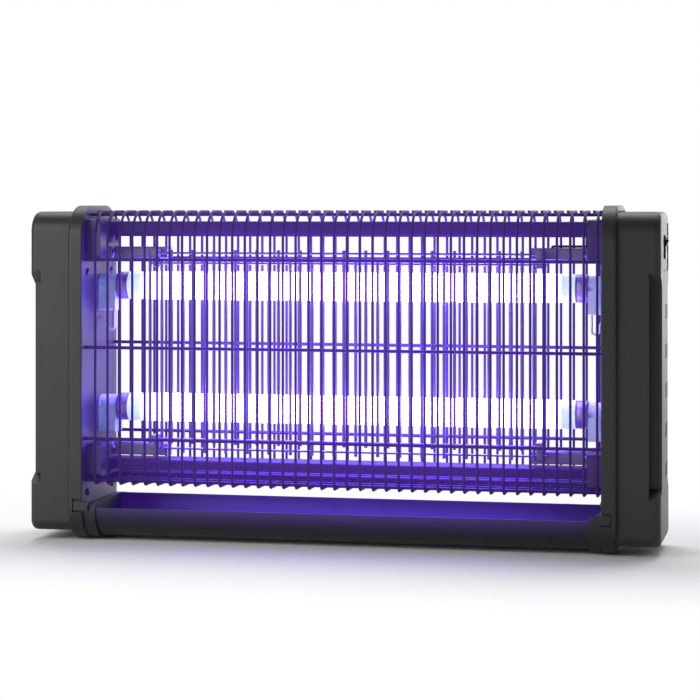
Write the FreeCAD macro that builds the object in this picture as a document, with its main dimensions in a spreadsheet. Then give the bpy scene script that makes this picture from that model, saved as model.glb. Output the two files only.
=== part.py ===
import FreeCAD, Part
import math
import os
import re
import Sketcher

# Electric insect killer: two moulded ends carry a wire guard, two tube lamps, a high-voltage grid,
# two steel tie bars and a pull-out tray. Millimetres, +Z up, the front faces -Y, and the origin is
# on the floor, midway between the ends and midway front to back.

# ---------------------------------------------------------------- driving dimensions

SIZES = {
    # ends
    "collar_width": (13.4, "end frame, along X"),
    "collar_depth": (105.0, "end frame, front to back"),
    "body_height": (305.5, "floor to the top of the end frames"),
    "pad_proud": (0.8, "foot pads stand this far below the end frames"),
    "collar_radius": (30.0, "corners of the end frame, seen from the end"),
    "collar_edge": (3.0, "rounding of the end frame's outer edge"),
    "collar_inner_edge": (1.0, "rounding of the end frame's inner edge"),
    "frame_wall": (3.0, "wall of the end frame that faces the lamps"),
    "cap_length": (37.85, "end cap, from the end frame outwards"),
    "cap_overlap": (5.0, "end cap inside the end frame"),
    "cap_inset": (5.0, "end cap behind the end frame's front face"),
    "cap_drop": (5.5, "end cap below the end frame's top"),
    "cap_foot": (8.9, "floor to the end cap's underside"),
    "cap_top_radius": (18.0, "long upper edges of the cap"),
    "cap_bottom_radius": (10.0, "long lower edges of the cap"),
    "cap_end_radius": (5.5, "rounding round the cap's end face"),
    "cap_wall": (2.6, "moulded wall of the cap"),
    "shadow_gap": (0.8, "groove between cap and end frame"),
    # grip notches in the caps' outer corners
    "notch_length": (10.5, "along X"),
    "notch_depth": (13.5, "along Y"),
    "notch_top_drop": (59.0, "upper end of the notch, at the surface, below the end frames' top"),
    "notch_bottom": (51.0, "lower end of the notch, at the surface"),
    "notch_top_ramp": (11.5, "height of the upper ramp"),
    "notch_bottom_ramp": (8.5, "height of the lower ramp"),
    "notch_edge": (2.5, "rounding of the notch's long edge"),
    # vents and recessed panel in the caps' end faces
    "vent_slots": (5, "slots in a row"),
    "vent_rows": (5, "rows"),
    "vent_slot_width": (2.6, "one slot"),
    "vent_slot_pitch": (6.0, "slot to slot"),
    "vent_slot_height": (13.0, "one slot"),
    "vent_row_pitch": (35.05, "row to row"),
    "vent_lowest": (71.5, "middle of the lowest row"),
    "vent_middle": (17.0, "middle of the rows behind the cap's centre"),
    "panel_front": (-22.0, "front end of the recessed panel"),
    "panel_rear": (39.0, "rear end of the recessed panel"),
    "panel_low_drop": (58.0, "lower end of the recessed panel, below the end frames' top"),
    "panel_high_drop": (16.0, "upper end of the recessed panel, below the end frames' top"),
    "panel_radius": (6.0, "corners of the recessed panel"),
    "panel_depth": (0.8, "depth of the recessed panel"),
    # rocker switch
    "switch_y": (7.0, "middle of the switch"),
    "switch_z_drop": (36.5, "middle of the switch, below the end frames' top"),
    "bezel_width": (15.0, "bezel, along Y"),
    "bezel_height": (21.0, "bezel, along Z"),
    "bezel_thickness": (1.6, "bezel, along X"),
    "switch_body_width": (12.6, "body behind the bezel, along Y"),
    "switch_body_height": (18.9, "body behind the bezel, along Z"),
    "switch_body_depth": (19.0, "body behind the bezel, along X"),
    "rocker_width": (9.6, "rocker, along Y"),
    "rocker_reach": (7.2, "rocker, from its pivot to each end"),
    "rocker_rise": (6.0, "rocker's ends above its pivot"),
    "rocker_dip": (1.6, "rocker's middle below its ends"),
    "rocker_tilt": (10.0, "rest tilt of the rocker, degrees"),
    "rocker_pivot_depth": (3.0, "pivot below the bezel's back face"),
    "rocker_foot": (1.5, "rocker's foot below its pivot"),
    "rocker_play": (0.3, "space beside the rocker"),
    "switch_opening": (17.0, "opening for the rocker, along Z"),
    "switch_play": (0.15, "switch body in its hole"),
    "trunnion_radius": (1.0, "pivot stub of the rocker"),
    "trunnion_length": (1.2, "pivot stub of the rocker"),
    "terminal_width": (4.8, "switch terminal"),
    "terminal_thickness": (0.8, "switch terminal"),
    "terminal_length": (7.0, "switch terminal"),
    "terminal_pitch": (6.3, "switch terminals, along Z"),
    "trunnion_play": (0.06, "running clearance round the stub"),
    # guard
    "guard_inset": (5.5, "middle of the wires below the end frames' surface"),
    "guard_wire": (2.4, "diameter of the guard's bent wires"),
    "guard_rod": (3.0, "diameter of the guard's cross rods"),
    "guard_pitch": (11.68, "wire to wire"),
    "guard_first": (11.25, "left end frame to the first wire of the front guard"),
    "guard_last": (3.0, "least space between the last wire and the end frame"),
    "guard_foot": (53.0, "height of the guard's inturned legs"),
    "guard_foot_radius": (4.0, "bend at the guard's foot"),
    "guard_leg": (37.0, "length of the inturned legs"),
    "guard_meeting": (0.5, "space between the two guards at the top"),
    "guard_rod_high_drop": (49.2, "upper cross rod, below the end frames' top"),
    "guard_rod_mid": (176.5, "middle cross rod"),
    "guard_rod_low": (93.5, "lower cross rod"),
    "guard_top_rod_outer": (22.5, "outer rod on the top run"),
    "guard_top_rod_inner": (6.0, "inner rod on the top run"),
    "guard_leg_rod_outer": (42.0, "outer rod on the legs"),
    "guard_leg_rod_inner": (26.5, "second rod on the legs"),
    "guard_leg_rod_last": (12.5, "rod near the ends of the legs"),
    "rod_insert": (2.0, "cross rods inside the end frames"),
    "rod_play": (0.15, "clearance round a cross rod in its socket"),
    # carrier blocks on the end frames' inner walls
    "carrier_length": (13.25, "carrier block, along X"),
    "carrier_front": (-38.0, "front face of the carrier blocks"),
    "carrier_rear": (22.0, "rear face of the carrier blocks"),
    "upper_carrier_low_drop": (48.5, "underside of the upper carrier, below the end frames' top"),
    "upper_carrier_high_drop": (12.5, "top of the upper carrier, below the end frames' top"),
    "lower_carrier_low": (58.0, "underside of the lower carrier"),
    "lower_carrier_high": (88.5, "top of the lower carrier"),
    "carrier_radius": (3.0, "corners of the carriers"),
    # tie bars
    "bar_half": (16.0, "half the width of a tie bar"),
    "bar_sheet": (1.2, "sheet thickness of the tie bars"),
    "bar_bend": (2.0, "outer bends of the tie bars"),
    "upper_bar_top_drop": (14.5, "top face of the upper tie bar, below the end frames' top"),
    "upper_bar_front": (11.4, "front flange of the upper tie bar"),
    "upper_bar_rear": (14.1, "rear flange of the upper tie bar"),
    "lower_bar_top": (72.7, "top face of the lower tie bar"),
    "lower_bar_flange": (9.0, "flanges of the lower tie bar"),
    "tab_half": (13.0, "half the width of the end tabs"),
    "upper_tab_height": (20.0, "end tabs of the upper tie bar"),
    "lower_tab_height": (14.2, "end tabs of the lower tie bar"),
    "bar_screw_y": (9.0, "tie bar screws, off centre"),
    "upper_bar_screw_drop": (29.5, "height of the upper tie bar screws, below the end frames' top"),
    "lower_bar_screw": (65.0, "height of the lower tie bar screws"),
    # high-voltage grid
    "grid_wire": (3.0, "wire diameter of the grid"),
    "grid_rod": (2.0, "cross rod diameter of the grid"),
    "grid_weld": (0.25, "how far a grid wire sinks into its rod"),
    "grid_pitch": (10.1, "live wire to return wire"),
    "grid_end_space": (40.0, "least space between the grid wires and the carriers"),
    "live_y": (-15.0, "plane of the live wires"),
    "live_low": (87.5, "foot of the live wires"),
    "live_high_drop": (40.5, "head of the live wires, below the end frames' top"),
    "live_rod_low": (92.0, "lower live rod"),
    "live_rod_high_drop": (43.5, "upper live rod, below the end frames' top"),
    "return_y": (-11.0, "plane of the return wires"),
    "return_low": (79.0, "foot of the return wires"),
    "return_high_drop": (49.5, "head of the return wires, below the end frames' top"),
    "return_rod_low": (82.5, "lower return rod"),
    "return_rod_high_drop": (53.0, "upper return rod, below the end frames' top"),
    # insulator arms
    "arm_front": (-7.0, "front face of the arms"),
    "arm_rear": (8.0, "rear face of the arms"),
    "upper_arm_low_drop": (48.5, "underside of the upper arms, below the end frames' top"),
    "upper_arm_high_drop": (38.0, "top of the upper arms, below the end frames' top"),
    "lower_arm_low": (75.5, "underside of the lower arms"),
    "lower_arm_high": (87.2, "top of the lower arms"),
    "arm_radius": (1.5, "lower long edges of the arms"),
    "arm_crown": (3.0, "upper long edges of the arms"),
    "arm_overhang": (8.95, "arm beyond the middle of its ear"),
    "ear_width": (5.5, "ear between two grid wires, along X"),
    "ear_wall": (2.3, "ear round the rod it holds"),
    "ear_play": (0.1, "clearance round a rod in its ear"),
    "arm_foot": (3.0, "thickness of the arm's foot"),
    "arm_foot_reach": (7.0, "foot beyond the arm, front and rear"),
    # lamps and holders
    "lamp_length": (437.4, "tube, face to face"),
    "lamp_diameter": (25.8, "tube"),
    "lamp_glass": (0.9, "glass wall"),
    "lamp_cap_length": (11.5, "metal end cap"),
    "lamp_cap_wall": (0.6, "metal end cap"),
    "lamp_y": (7.0, "tube axis, behind the middle"),
    "upper_lamp_drop": (74.0, "axis of the upper tube, below the end frames' top"),
    "lower_lamp": (119.0, "axis of the lower tube"),
    "pin_diameter": (2.35, "contact pin"),
    "pin_length": (7.1, "contact pin"),
    "pin_spacing": (12.7, "pin to pin"),
    "pin_play": (0.1, "pin in the rotor's slot"),
    "lamp_play": (0.3, "tube end to lamp holder"),
    "holder_depth": (16.25, "lamp holder, from its face to the end frame"),
    "rotor_radius": (8.0, "turning piece of the holder"),
    "rotor_play": (0.08, "running clearance round the rotor"),
    "rotor_length": (8.0, "turning piece of the holder"),
    "rotor_floor": (1.3, "floor of the rotor's slot"),
    "rotor_end_play": (0.1, "rotor to the floor of its bore"),
    "holder_half": (11.0, "half the width of a lamp holder"),
    "holder_tail": (23.0, "lamp axis to the holder's underside"),
    "holder_slot": (3.4, "entry slot for the pins"),
    "holder_shell": (1.6, "walls left between the holder's moulding recesses"),
    "holder_recess": (5.0, "depth of the moulding recesses in the holder's front"),
    "holder_screw_drop": (17.0, "holder screw below the lamp axis"),
    "holder_screw_length": (9.0, "holder screw under the head"),
    # tray
    "tray_end_wall": (5.0, "outer wall of the tray end, which closes the pan"),
    "tray_front": (47.4, "half the depth of the tray pan"),
    "tray_sheet": (1.0, "sheet thickness of the pan"),
    "tray_bottom": (3.2, "underside of the pan"),
    "tray_lip": (31.0, "front lip of the pan"),
    "tray_back": (34.0, "rear wall of the pan"),
    "tray_radius": (27.0, "lower corners of the pan"),
    "tray_band": (5.8, "band of the tray end over the pan, along X"),
    "tray_band_wall": (1.9, "band of the tray end"),
    "tray_end_gap": (0.15, "pan to tray end"),
    "tray_side_gap": (0.3, "tray end to end frame"),
    "tray_end_top": (34.0, "top of the tray ends"),
    "rail_low": (21.0, "underside of the rail"),
    "rail_height": (3.0, "rail"),
    "rail_depth": (2.5, "rail, out of the end frame's wall"),
    "rail_half": (44.0, "half the length of the rail"),
    "rail_play": (0.3, "rail in the tray's groove"),
    "groove_stop": (2.5, "groove beyond the rail's front end"),
    "hook_reach": (8.25, "hook ear into the end frame's pocket"),
    "hook_thickness": (2.4, "hook ear, front to back"),
    "hook_low": (29.0, "underside of the hook ear"),
    "hook_high": (37.0, "top of the hook ear"),
    "hook_play": (0.3, "hook ear to the pocket's floor"),
    "hook_space": (0.8, "hook ear to the pocket's side"),
    "hook_above": (2.5, "pocket above the hook ear"),
    "hook_below": (1.5, "pocket below the hook ear"),
    "tray_fit": (0.1, "band of the tray end round the pan"),
    "rivet_inset": (3.0, "tray rivets from the band's edge"),
    "rivet_y": (12.0, "floor rivets of the tray, off centre"),
    "rivet_z": (16.0, "rear rivets of the tray"),
    "rivet_radius": (1.5, "tray rivet"),
    "rivet_play": (0.05, "tray rivet in its hole"),
    "rivet_head": (2.6, "head radius of the tray rivets"),
    "rivet_head_height": (0.8, "head of the tray rivets"),
    # small parts
    "pad_length": (12.0, "foot pad, front to back"),
    "pad_width": (8.4, "foot pad, along X"),
    "pad_sunk": (1.0, "foot pad inside the end frame"),
    "pad_play": (0.1, "foot pad in its recess"),
    "pad_y": (14.0, "foot pads, off centre"),
    "pad_inset": (1.3, "foot pad from the end frame's inner face"),
    "insert_radius": (3.1, "hanging insert"),
    "insert_bore": (2.1, "thread of the hanging insert"),
    "insert_length": (10.0, "hanging insert"),
    "insert_floor": (2.0, "boss below the hanging insert"),
    "insert_boss_half": (7.0, "half the width of the insert's boss"),
    "insert_play": (0.05, "hanging insert in its boss"),
    "bush_outward": (13.35, "lead entry bush beyond the end frame"),
    "bush_z": (26.0, "lead entry bush"),
    "bush_bore": (3.6, "bore radius of the bush"),
    "bush_radius": (5.0, "barrel of the bush"),
    "bush_flange": (7.5, "flange radius of the bush"),
    "bush_flange_height": (1.5, "flange of the bush"),
    "bush_barrel": (10.5, "barrel inside the flange"),
    "bush_play": (0.1, "bush in the cap's wall"),
    "screw_radius": (1.6, "shank of the screws"),
    "screw_head": (3.2, "head radius of the screws"),
    "screw_head_height": (2.2, "head of the screws"),
    "screw_play": (0.1, "clearance round a shank"),
    "cap_screw_y": (36.0, "cap screws, off centre"),
    "cap_screw_low": (44.0, "lower cap screws"),
    "cap_screw_high_drop": (60.5, "upper cap screws, below the end frames' top"),
    "cap_screw_length": (20.0, "cap screws under the head"),
    "cap_pillar": (4.0, "screw pillars inside the caps"),
    "screw_bite": (1.8, "carrier screws in the end frame's wall"),
    "screw_end_play": (0.5, "screw hole beyond the screw's tip"),
    "part_screw_length": (3.2, "screws of the electrical parts"),
    "part_flange": (1.0, "mounting flanges of the electrical parts"),
    # electrical parts
    "ballast_width": (40.0, "ballast, front to back"),
    "ballast_height": (60.0, "ballast, along Z"),
    "ballast_depth": (32.0, "ballast, along X"),
    "ballast_foot": (8.0, "mounting flange beyond the ballast"),
    "upper_ballast_z_drop": (145.5, "middle of the upper ballast, below the end frames' top"),
    "lower_ballast_z": (60.0, "middle of the lower ballast"),
    "starter_radius": (10.7, "starter can"),
    "starter_length": (32.0, "starter can"),
    "starter_y": (15.0, "starters, off centre"),
    "starter_z_drop": (63.5, "height of the starters, below the end frames' top"),
    "socket_radius": (13.0, "starter socket"),
    "socket_height": (6.0, "starter socket"),
    "transformer_width": (44.0, "transformer, front to back"),
    "transformer_height": (46.0, "transformer, along Z"),
    "transformer_depth": (30.0, "transformer, along X"),
    "transformer_z": (66.0, "middle of the transformer"),
    "board_half": (22.0, "half the width of the multiplier board"),
    "board_low": (128.0, "lower end of the board"),
    "board_high_drop": (111.5, "upper end of the board, below the end frames' top"),
    "board_thickness": (1.6, "multiplier board"),
    "board_standoff": (5.0, "board above the wall"),
    "capacitor_radius": (5.0, "capacitors on the board"),
    "capacitor_height": (14.0, "capacitors on the board"),
    "terminal_half": (19.0, "half the length of the terminal block"),
    "terminal_low_drop": (83.5, "underside of the terminal block, below the end frames' top"),
    "terminal_high_drop": (65.5, "top of the terminal block, below the end frames' top"),
    "terminal_depth": (15.0, "terminal block, along X"),
    # wiring
    "harness_radius": (3.0, "wire bundle between the housings"),
    "harness_z_drop": (20.5, "height of the wire bundle, below the end frames' top"),
    "harness_play": (0.3, "wire bundle in its holes"),
    "harness_beyond": (19.75, "wire bundle into the housings"),
    "harness_bend": (12.0, "bends of the wire bundle"),
    "harness_end_drop": (39.5, "lower end of the wire bundle, below the end frames' top"),
    "lead_radius": (0.9, "lamp lead"),
    "lead_out": (221.6, "where a lead leaves its holder"),
    "lead_back": (228.8, "returning run of a lead's loop"),
    "lead_drop": (18.0, "loop below the holder"),
    "lead_rise": (11.0, "returning run above the loop's foot"),
    "lead_bend": (3.4, "bends of a lead"),
    "lead_y": (2.0, "plane of the first lead"),
    "lead_pitch": (2.6, "lead to lead"),
    "lead_inside": (3.0, "end of a lead inside its holder or housing"),
    "lead_hole": (1.4, "holes for the leads"),
    "grid_lead_radius": (1.1, "high-voltage lead"),
    "grid_lead_play": (0.4, "space under the lead's end in its arm"),
    "grid_lead_end": (10.0, "lead's end outside the middle of the ear"),
    "grid_lead_bend": (1.5, "bend of the high-voltage lead"),
    "grid_lead_sunk": (3.5, "lead inside its arm"),
    "grid_lead_y": (-1.5, "plane of the first high-voltage lead"),
    "grid_lead_pitch": (4.0, "high-voltage lead to lead"),
    "grid_lead_hole": (1.3, "bores for the high-voltage leads"),
}

# Places and spans that follow from the sizes above.
PLACES = {
    "inner_half": "holder_face + holder_depth",
    "collar_half": "collar_depth / 2",
    "notch_top": "body_height - notch_top_drop",
    "panel_low": "body_height - panel_low_drop",
    "panel_high": "body_height - panel_high_drop",
    "switch_z": "body_height - switch_z_drop",
    "guard_rod_high": "body_height - guard_rod_high_drop",
    "upper_carrier_low": "body_height - upper_carrier_low_drop",
    "upper_carrier_high": "body_height - upper_carrier_high_drop",
    "upper_bar_top": "body_height - upper_bar_top_drop",
    "upper_bar_screw": "body_height - upper_bar_screw_drop",
    "live_high": "body_height - live_high_drop",
    "live_rod_high": "body_height - live_rod_high_drop",
    "return_high": "body_height - return_high_drop",
    "return_rod_high": "body_height - return_rod_high_drop",
    "upper_arm_low": "body_height - upper_arm_low_drop",
    "upper_arm_high": "body_height - upper_arm_high_drop",
    "upper_lamp": "body_height - upper_lamp_drop",
    "cap_screw_high": "body_height - cap_screw_high_drop",
    "upper_ballast_z": "body_height - upper_ballast_z_drop",
    "starter_z": "body_height - starter_z_drop",
    "board_high": "body_height - board_high_drop",
    "terminal_low": "body_height - terminal_low_drop",
    "terminal_high": "body_height - terminal_high_drop",
    "harness_z": "body_height - harness_z_drop",
    "harness_end": "body_height - harness_end_drop",
    "collar_out": "inner_half + collar_width",
    "plate_out": "inner_half + frame_wall",
    "seat": "collar_out - cap_overlap",
    "cap_out": "collar_out + cap_length",
    "cap_half": "collar_half - cap_inset",
    "cap_top": "body_height - cap_drop",
    "cap_inner_half": "cap_half - cap_wall",
    "notch_x": "cap_out - notch_length",
    "notch_y": "cap_half - notch_depth",
    "panel_x": "cap_out - panel_depth",
    "rocker_x": "panel_x - rocker_pivot_depth",
    "guard_front": "collar_half - guard_inset",
    "guard_rod_in": "(guard_wire + guard_rod) / 2",
    "guard_top": "body_height - guard_inset",
    "guard_bend": "collar_radius - guard_inset",
    "guard_start": "guard_first - inner_half",
    "guard_gaps": "floor((2 * inner_half - guard_first - guard_last) / guard_pitch)",
    "rod_half": "inner_half + rod_insert",
    "carrier_in": "inner_half - carrier_length",
    "grid_steps": "floor((carrier_in - grid_end_space) / (2 * grid_pitch))",
    "live_rod_y": "live_y - (grid_wire + grid_rod) / 2 + grid_weld",
    "return_rod_y": "return_y + (grid_wire + grid_rod) / 2 - grid_weld",
    "ear_x": "(2 * grid_steps - 0.5) * grid_pitch",
    "grid_rod_half": "ear_x + ear_width / 2 + 3.5",
    "arm_in": "ear_x - arm_overhang",
    "ear_half": "grid_rod / 2 + ear_wall",
    "lamp_half": "lamp_length / 2",
    "glass_half": "lamp_half - lamp_cap_length",
    "holder_face": "lamp_half + lamp_play",
    "rotor_face": "holder_face + lamp_play",
    "rotor_back": "rotor_face + rotor_length",
    "tray_end_out": "inner_half - tray_side_gap",
    "tray_plate": "tray_end_out - tray_end_wall",
    "tray_half": "tray_plate - tray_end_gap",
    "tray_end_in": "tray_half - tray_band",
    "rivet_x": "tray_end_in + rivet_inset",
    "band_in": "tray_front + tray_fit",
    "band_out": "band_in + tray_band_wall",
    "band_bottom": "tray_bottom - tray_fit - tray_band_wall",
    "hook_back": "collar_half - hook_play - hook_thickness",
    "pocket_floor": "hook_back - hook_play",
    "insert_x": "(inner_half + seat) / 2",
    "insert_low": "body_height - insert_length",
    "pad_x": "inner_half + pad_inset + pad_width / 2",
    "bush_x": "collar_out + bush_outward",
    "harness_reach": "plate_out + harness_beyond",
    "arm_lead_x": "ear_x + grid_lead_end",
    "grid_lead_z": "upper_arm_high + grid_lead_bend",
    "loop_foot": "upper_lamp - holder_tail - lead_drop",
    "loop_exit": "loop_foot + lead_rise",
    "slot_floor": "rotor_back - rotor_floor",
    "bezel_x": "panel_x + bezel_thickness",
    "switch_back": "panel_x - switch_body_depth",
    "bar_face": "carrier_in - bar_sheet",
    "harness_hole": "harness_radius + harness_play",
    "groove_front": "rail_half + groove_stop",
}

doc = FreeCAD.newDocument("insect_killer")
sheet = doc.addObject("Spreadsheet::Sheet", "Sizes")
for row, (word, (value, meaning)) in enumerate(SIZES.items(), start=1):
    sheet.set(f"A{row}", meaning)
    sheet.set(f"B{row}", str(value))
    sheet.setAlias(f"B{row}", word)
doc.recompute()

pieces = []


# ---------------------------------------------------------------- building blocks

def formula(text):
    """Spell out a size expression in the sheet's cells."""
    def cell(match):
        word = match.group()
        if word in SIZES:
            return "Sizes." + word
        if word in PLACES:
            return "(" + formula(PLACES[word]) + ")"
        return word
    return re.sub(r"[a-z][a-z_]*", cell, str(text))


def number(text):
    """The present value of a size expression."""
    return float(sheet.evalExpression(formula(text)))


def keep(label, thing):
    """Name a finished sub-part."""
    thing.Label = label
    pieces.append(thing)
    return thing


def block(x, y, z):
    """A box between pairs of size expressions."""
    box = doc.addObject("Part::Box", "Block")
    for side, axis, (low, high) in zip(("Length", "Width", "Height"), "xyz", (x, y, z)):
        box.setExpression(side, formula(f"({high}) - ({low})"))
        box.setExpression(f"Placement.Base.{axis}", formula(low))
    return box


TURNS = {
    "x": FreeCAD.Rotation(FreeCAD.Vector(0, 1, 0), 90),
    "y": FreeCAD.Rotation(FreeCAD.Vector(1, 0, 0), -90),
    "z": FreeCAD.Rotation(),
}


def rod(axis, radius, low, high, first, second):
    """A cylinder along an axis; first and second place it on the two other axes, in X, Y, Z order."""
    bar = doc.addObject("Part::Cylinder", "Rod")
    bar.Placement = FreeCAD.Placement(FreeCAD.Vector(), TURNS[axis])
    bar.setExpression("Radius", formula(radius))
    bar.setExpression("Height", formula(f"({high}) - ({low})"))
    places = {axis: low}
    places.update(zip([other for other in "xyz" if other != axis], (first, second)))
    for letter, place in places.items():
        bar.setExpression(f"Placement.Base.{letter}", formula(place))
    return bar


def group(*members):
    together = doc.addObject("Part::Compound", "Group")
    together.Links = list(members)
    return together


def cut(base, *tools):
    result = doc.addObject("Part::Cut", "Cut")
    result.Base = base
    result.Tool = tools[0] if len(tools) == 1 else group(*tools)
    return result


def mirrored(source, x=1, y=0):
    """The same piece on the other side: across YZ by default, or across XZ."""
    other = doc.addObject("Part::Mirroring", "Mirror")
    other.Source = source
    other.Normal = FreeCAD.Vector(x, y, 0)
    return other


def both_sides(source):
    return group(source, mirrored(source))


def new_body(name):
    body = doc.addObject("PartDesign::Body", name)
    body.AllowCompound = True
    return body


def origin_feature(body, role):
    return next(part for part in body.Origin.OriginFeatures if part.Role == role)


def sketch_on(body, plane, offset):
    """A sketch at an offset along the normal of YZ (+X), XZ (-Y) or XY (+Z)."""
    sketch = body.newObject("Sketcher::SketchObject", "Outline")
    sketch.AttachmentSupport = (origin_feature(body, plane + "_Plane"), [""])
    sketch.MapMode = "FlatFace"
    sketch.setExpression("AttachmentOffset.Base.z", formula(offset))
    return sketch


def bind(sketch, kind, where, text):
    """Add a dimension to a sketch and tie it to a size expression."""
    value = number(text)
    if kind in ("DistanceX", "DistanceY") and abs(value) < 1e-9:
        axis = -2 if kind == "DistanceX" else -1
        sketch.addConstraint(Sketcher.Constraint("PointOnObject", where[0], where[1], axis))
        return
    anchor = (-1, 1) if kind in ("DistanceX", "DistanceY") else ()
    index = sketch.addConstraint(Sketcher.Constraint(kind, *anchor, *where, value))
    sketch.setExpression(f"Constraints[{index}]", formula(text))


def squared(body, plane, offset, corners, closed=True):
    """Level and upright lines through corners (u, v, radius); a radius of None leaves one sharp."""
    sketch = sketch_on(body, plane, offset)
    spots = [FreeCAD.Vector(number(u), number(v), 0) for u, v, _ in corners]
    count = len(corners)
    lines = count if closed else count - 1
    inset = [0.0 if radius is None else number(radius) for _, _, radius in corners]
    level = []
    for i in range(lines):
        j = (i + 1) % count
        along = (spots[j] - spots[i]).normalize()
        start = spots[i] + along * inset[i]
        sketch.addGeometry(Part.LineSegment(start, spots[j] - along * inset[j]))
        level.append(abs(along.y) < 0.5)
        sketch.addConstraint(Sketcher.Constraint("Horizontal" if level[i] else "Vertical", i))
        if level[i]:
            bind(sketch, "DistanceY", (i, 1), corners[i][1])
        else:
            bind(sketch, "DistanceX", (i, 1), corners[i][0])
    for j in range(count):
        before = (j - 1) % count
        if not closed and j in (0, count - 1):
            line, end = (0, 1) if j == 0 else (lines - 1, 2)
            if level[line]:
                bind(sketch, "DistanceX", (line, end), corners[j][0])
            else:
                bind(sketch, "DistanceY", (line, end), corners[j][1])
            continue
        if corners[j][2] is None:
            sketch.addConstraint(Sketcher.Constraint("Coincident", before, 2, j, 1))
            continue
        back = (spots[before] - spots[j]).normalize()
        ahead = (spots[(j + 1) % count] - spots[j]).normalize()
        centre = spots[j] + (back + ahead) * inset[j]
        leftward = back.cross(ahead).z < 0
        ends = [-ahead, -back] if leftward else [-back, -ahead]
        low, high = (math.atan2(end.y, end.x) for end in ends)
        circle = Part.Circle(centre, FreeCAD.Vector(0, 0, 1), inset[j])
        turned = sketch.addGeometry(Part.ArcOfCircle(circle, low, high))
        near, far = (1, 2) if leftward else (2, 1)
        sketch.addConstraint(Sketcher.Constraint("Tangent", before, 2, turned, near))
        sketch.addConstraint(Sketcher.Constraint("Tangent", turned, far, j, 1))
        bind(sketch, "Radius", (turned,), corners[j][2])
    return sketch


def rectangle(u, v, low=None, high=None):
    """Corners of a rectangle; low and high round its lower and upper corners."""
    return [(u[0], v[0], low), (u[1], v[0], low), (u[1], v[1], high), (u[0], v[1], high)]


def polygon(body, plane, offset, corners):
    """Straight lines through corners (u, v)."""
    sketch = sketch_on(body, plane, offset)
    spots = [FreeCAD.Vector(number(u), number(v), 0) for u, v in corners]
    for i, spot in enumerate(spots):
        sketch.addGeometry(Part.LineSegment(spot, spots[(i + 1) % len(spots)]))
    for i, (u, v) in enumerate(corners):
        sketch.addConstraint(Sketcher.Constraint("Coincident", i - 1 if i else len(spots) - 1, 2, i, 1))
        bind(sketch, "DistanceX", (i, 1), u)
        bind(sketch, "DistanceY", (i, 1), v)
    return sketch


def circles(body, plane, offset, radius, centres):
    sketch = sketch_on(body, plane, offset)
    for u, v in centres:
        centre = FreeCAD.Vector(number(u), number(v), 0)
        index = sketch.addGeometry(Part.Circle(centre, FreeCAD.Vector(0, 0, 1), number(radius)))
        bind(sketch, "DistanceX", (index, 3), u)
        bind(sketch, "DistanceY", (index, 3), v)
        bind(sketch, "Radius", (index,), radius)
    return sketch


def pad(body, sketch, length, back=False):
    """Add material from a sketch along its plane's normal, or back against it."""
    feature = body.newObject("PartDesign::Pad", "Pad")
    feature.Profile = sketch
    feature.setExpression("Length", formula(length))
    feature.Reversed = back
    return feature


def pocket(body, sketch, depth, back=False):
    """Remove material along the sketch plane's normal, or back against it."""
    feature = body.newObject("PartDesign::Pocket", "Pocket")
    feature.Profile = sketch
    feature.setExpression("Length", formula(depth))
    feature.Reversed = not back
    return feature


def fillet(body, radius, chosen):
    """Round the edges whose middle the test accepts."""
    doc.recompute()
    edges = body.Shape.Edges
    names = [f"Edge{i}" for i, edge in enumerate(edges, start=1) if chosen(edge.CenterOfMass)]
    feature = body.newObject("PartDesign::Fillet", "Fillet")
    feature.Base = (feature.BaseFeature, names)
    feature.setExpression("Radius", formula(radius))
    return feature


def row_of(body, feature, axis, span, count):
    """Repeat a feature along X, Y or Z."""
    pattern = body.newObject("PartDesign::LinearPattern", "Row")
    pattern.Originals = [feature]
    pattern.Direction = (origin_feature(body, axis + "_Axis"), [""])
    pattern.setExpression("Length", formula(span))
    pattern.setExpression("Occurrences", formula(count))
    body.Tip = pattern
    return pattern


def pipe(body, path, profile):
    """Sweep a round profile along an open path sketch."""
    feature = body.newObject("PartDesign::AdditivePipe", "Pipe")
    feature.Profile = profile
    feature.Spine = (path, [f"Edge{i + 1}" for i in range(path.GeometryCount)])
    return feature


def near(value, text):
    return abs(value - number(text)) < 0.01


# ---------------------------------------------------------------- end frames

GUARD_RODS = [
    ("guard_front - guard_rod_in", "guard_rod_high"),
    ("guard_front - guard_rod_in", "guard_rod_mid"),
    ("guard_front - guard_rod_in", "guard_rod_low"),
    ("guard_top_rod_outer", "guard_top - guard_rod_in"),
    ("guard_top_rod_inner", "guard_top - guard_rod_in"),
    ("guard_leg_rod_outer", "guard_foot + guard_rod_in"),
    ("guard_leg_rod_inner", "guard_foot + guard_rod_in"),
    ("guard_leg_rod_last", "guard_foot + guard_rod_in"),
]
CAP_SCREWS = [(y, z) for y in ("-cap_screw_y", "cap_screw_y") for z in ("cap_screw_low", "cap_screw_high")]
BAR_SCREWS = [(y, z) for y in ("-bar_screw_y", "bar_screw_y") for z in ("upper_bar_screw", "lower_bar_screw")]
ARM_SCREWS = [
    (y, z)
    for y in ("arm_front - arm_foot_reach / 2", "arm_rear + arm_foot_reach / 2")
    for z in ("(upper_arm_low + upper_arm_high) / 2", "(lower_arm_low + lower_arm_high) / 2")
]
HOLDER_SCREWS = [("lamp_y", f"{lamp} - holder_screw_drop") for lamp in ("upper_lamp", "lower_lamp")]
BALLAST_SCREWS = [
    ("0", f"{ballast} {sign} (ballast_height + ballast_foot) / 2")
    for ballast in ("upper_ballast_z", "lower_ballast_z")
    for sign in "+-"
]
TRANSFORMER_SCREWS = [("0", f"transformer_z {sign} (transformer_height + ballast_foot) / 2") for sign in "+-"]
LEADS = [
    (y, z) for y in ("lead_y", "lead_y + lead_pitch") for z in ("loop_exit", "lower_lamp")
]
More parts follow.
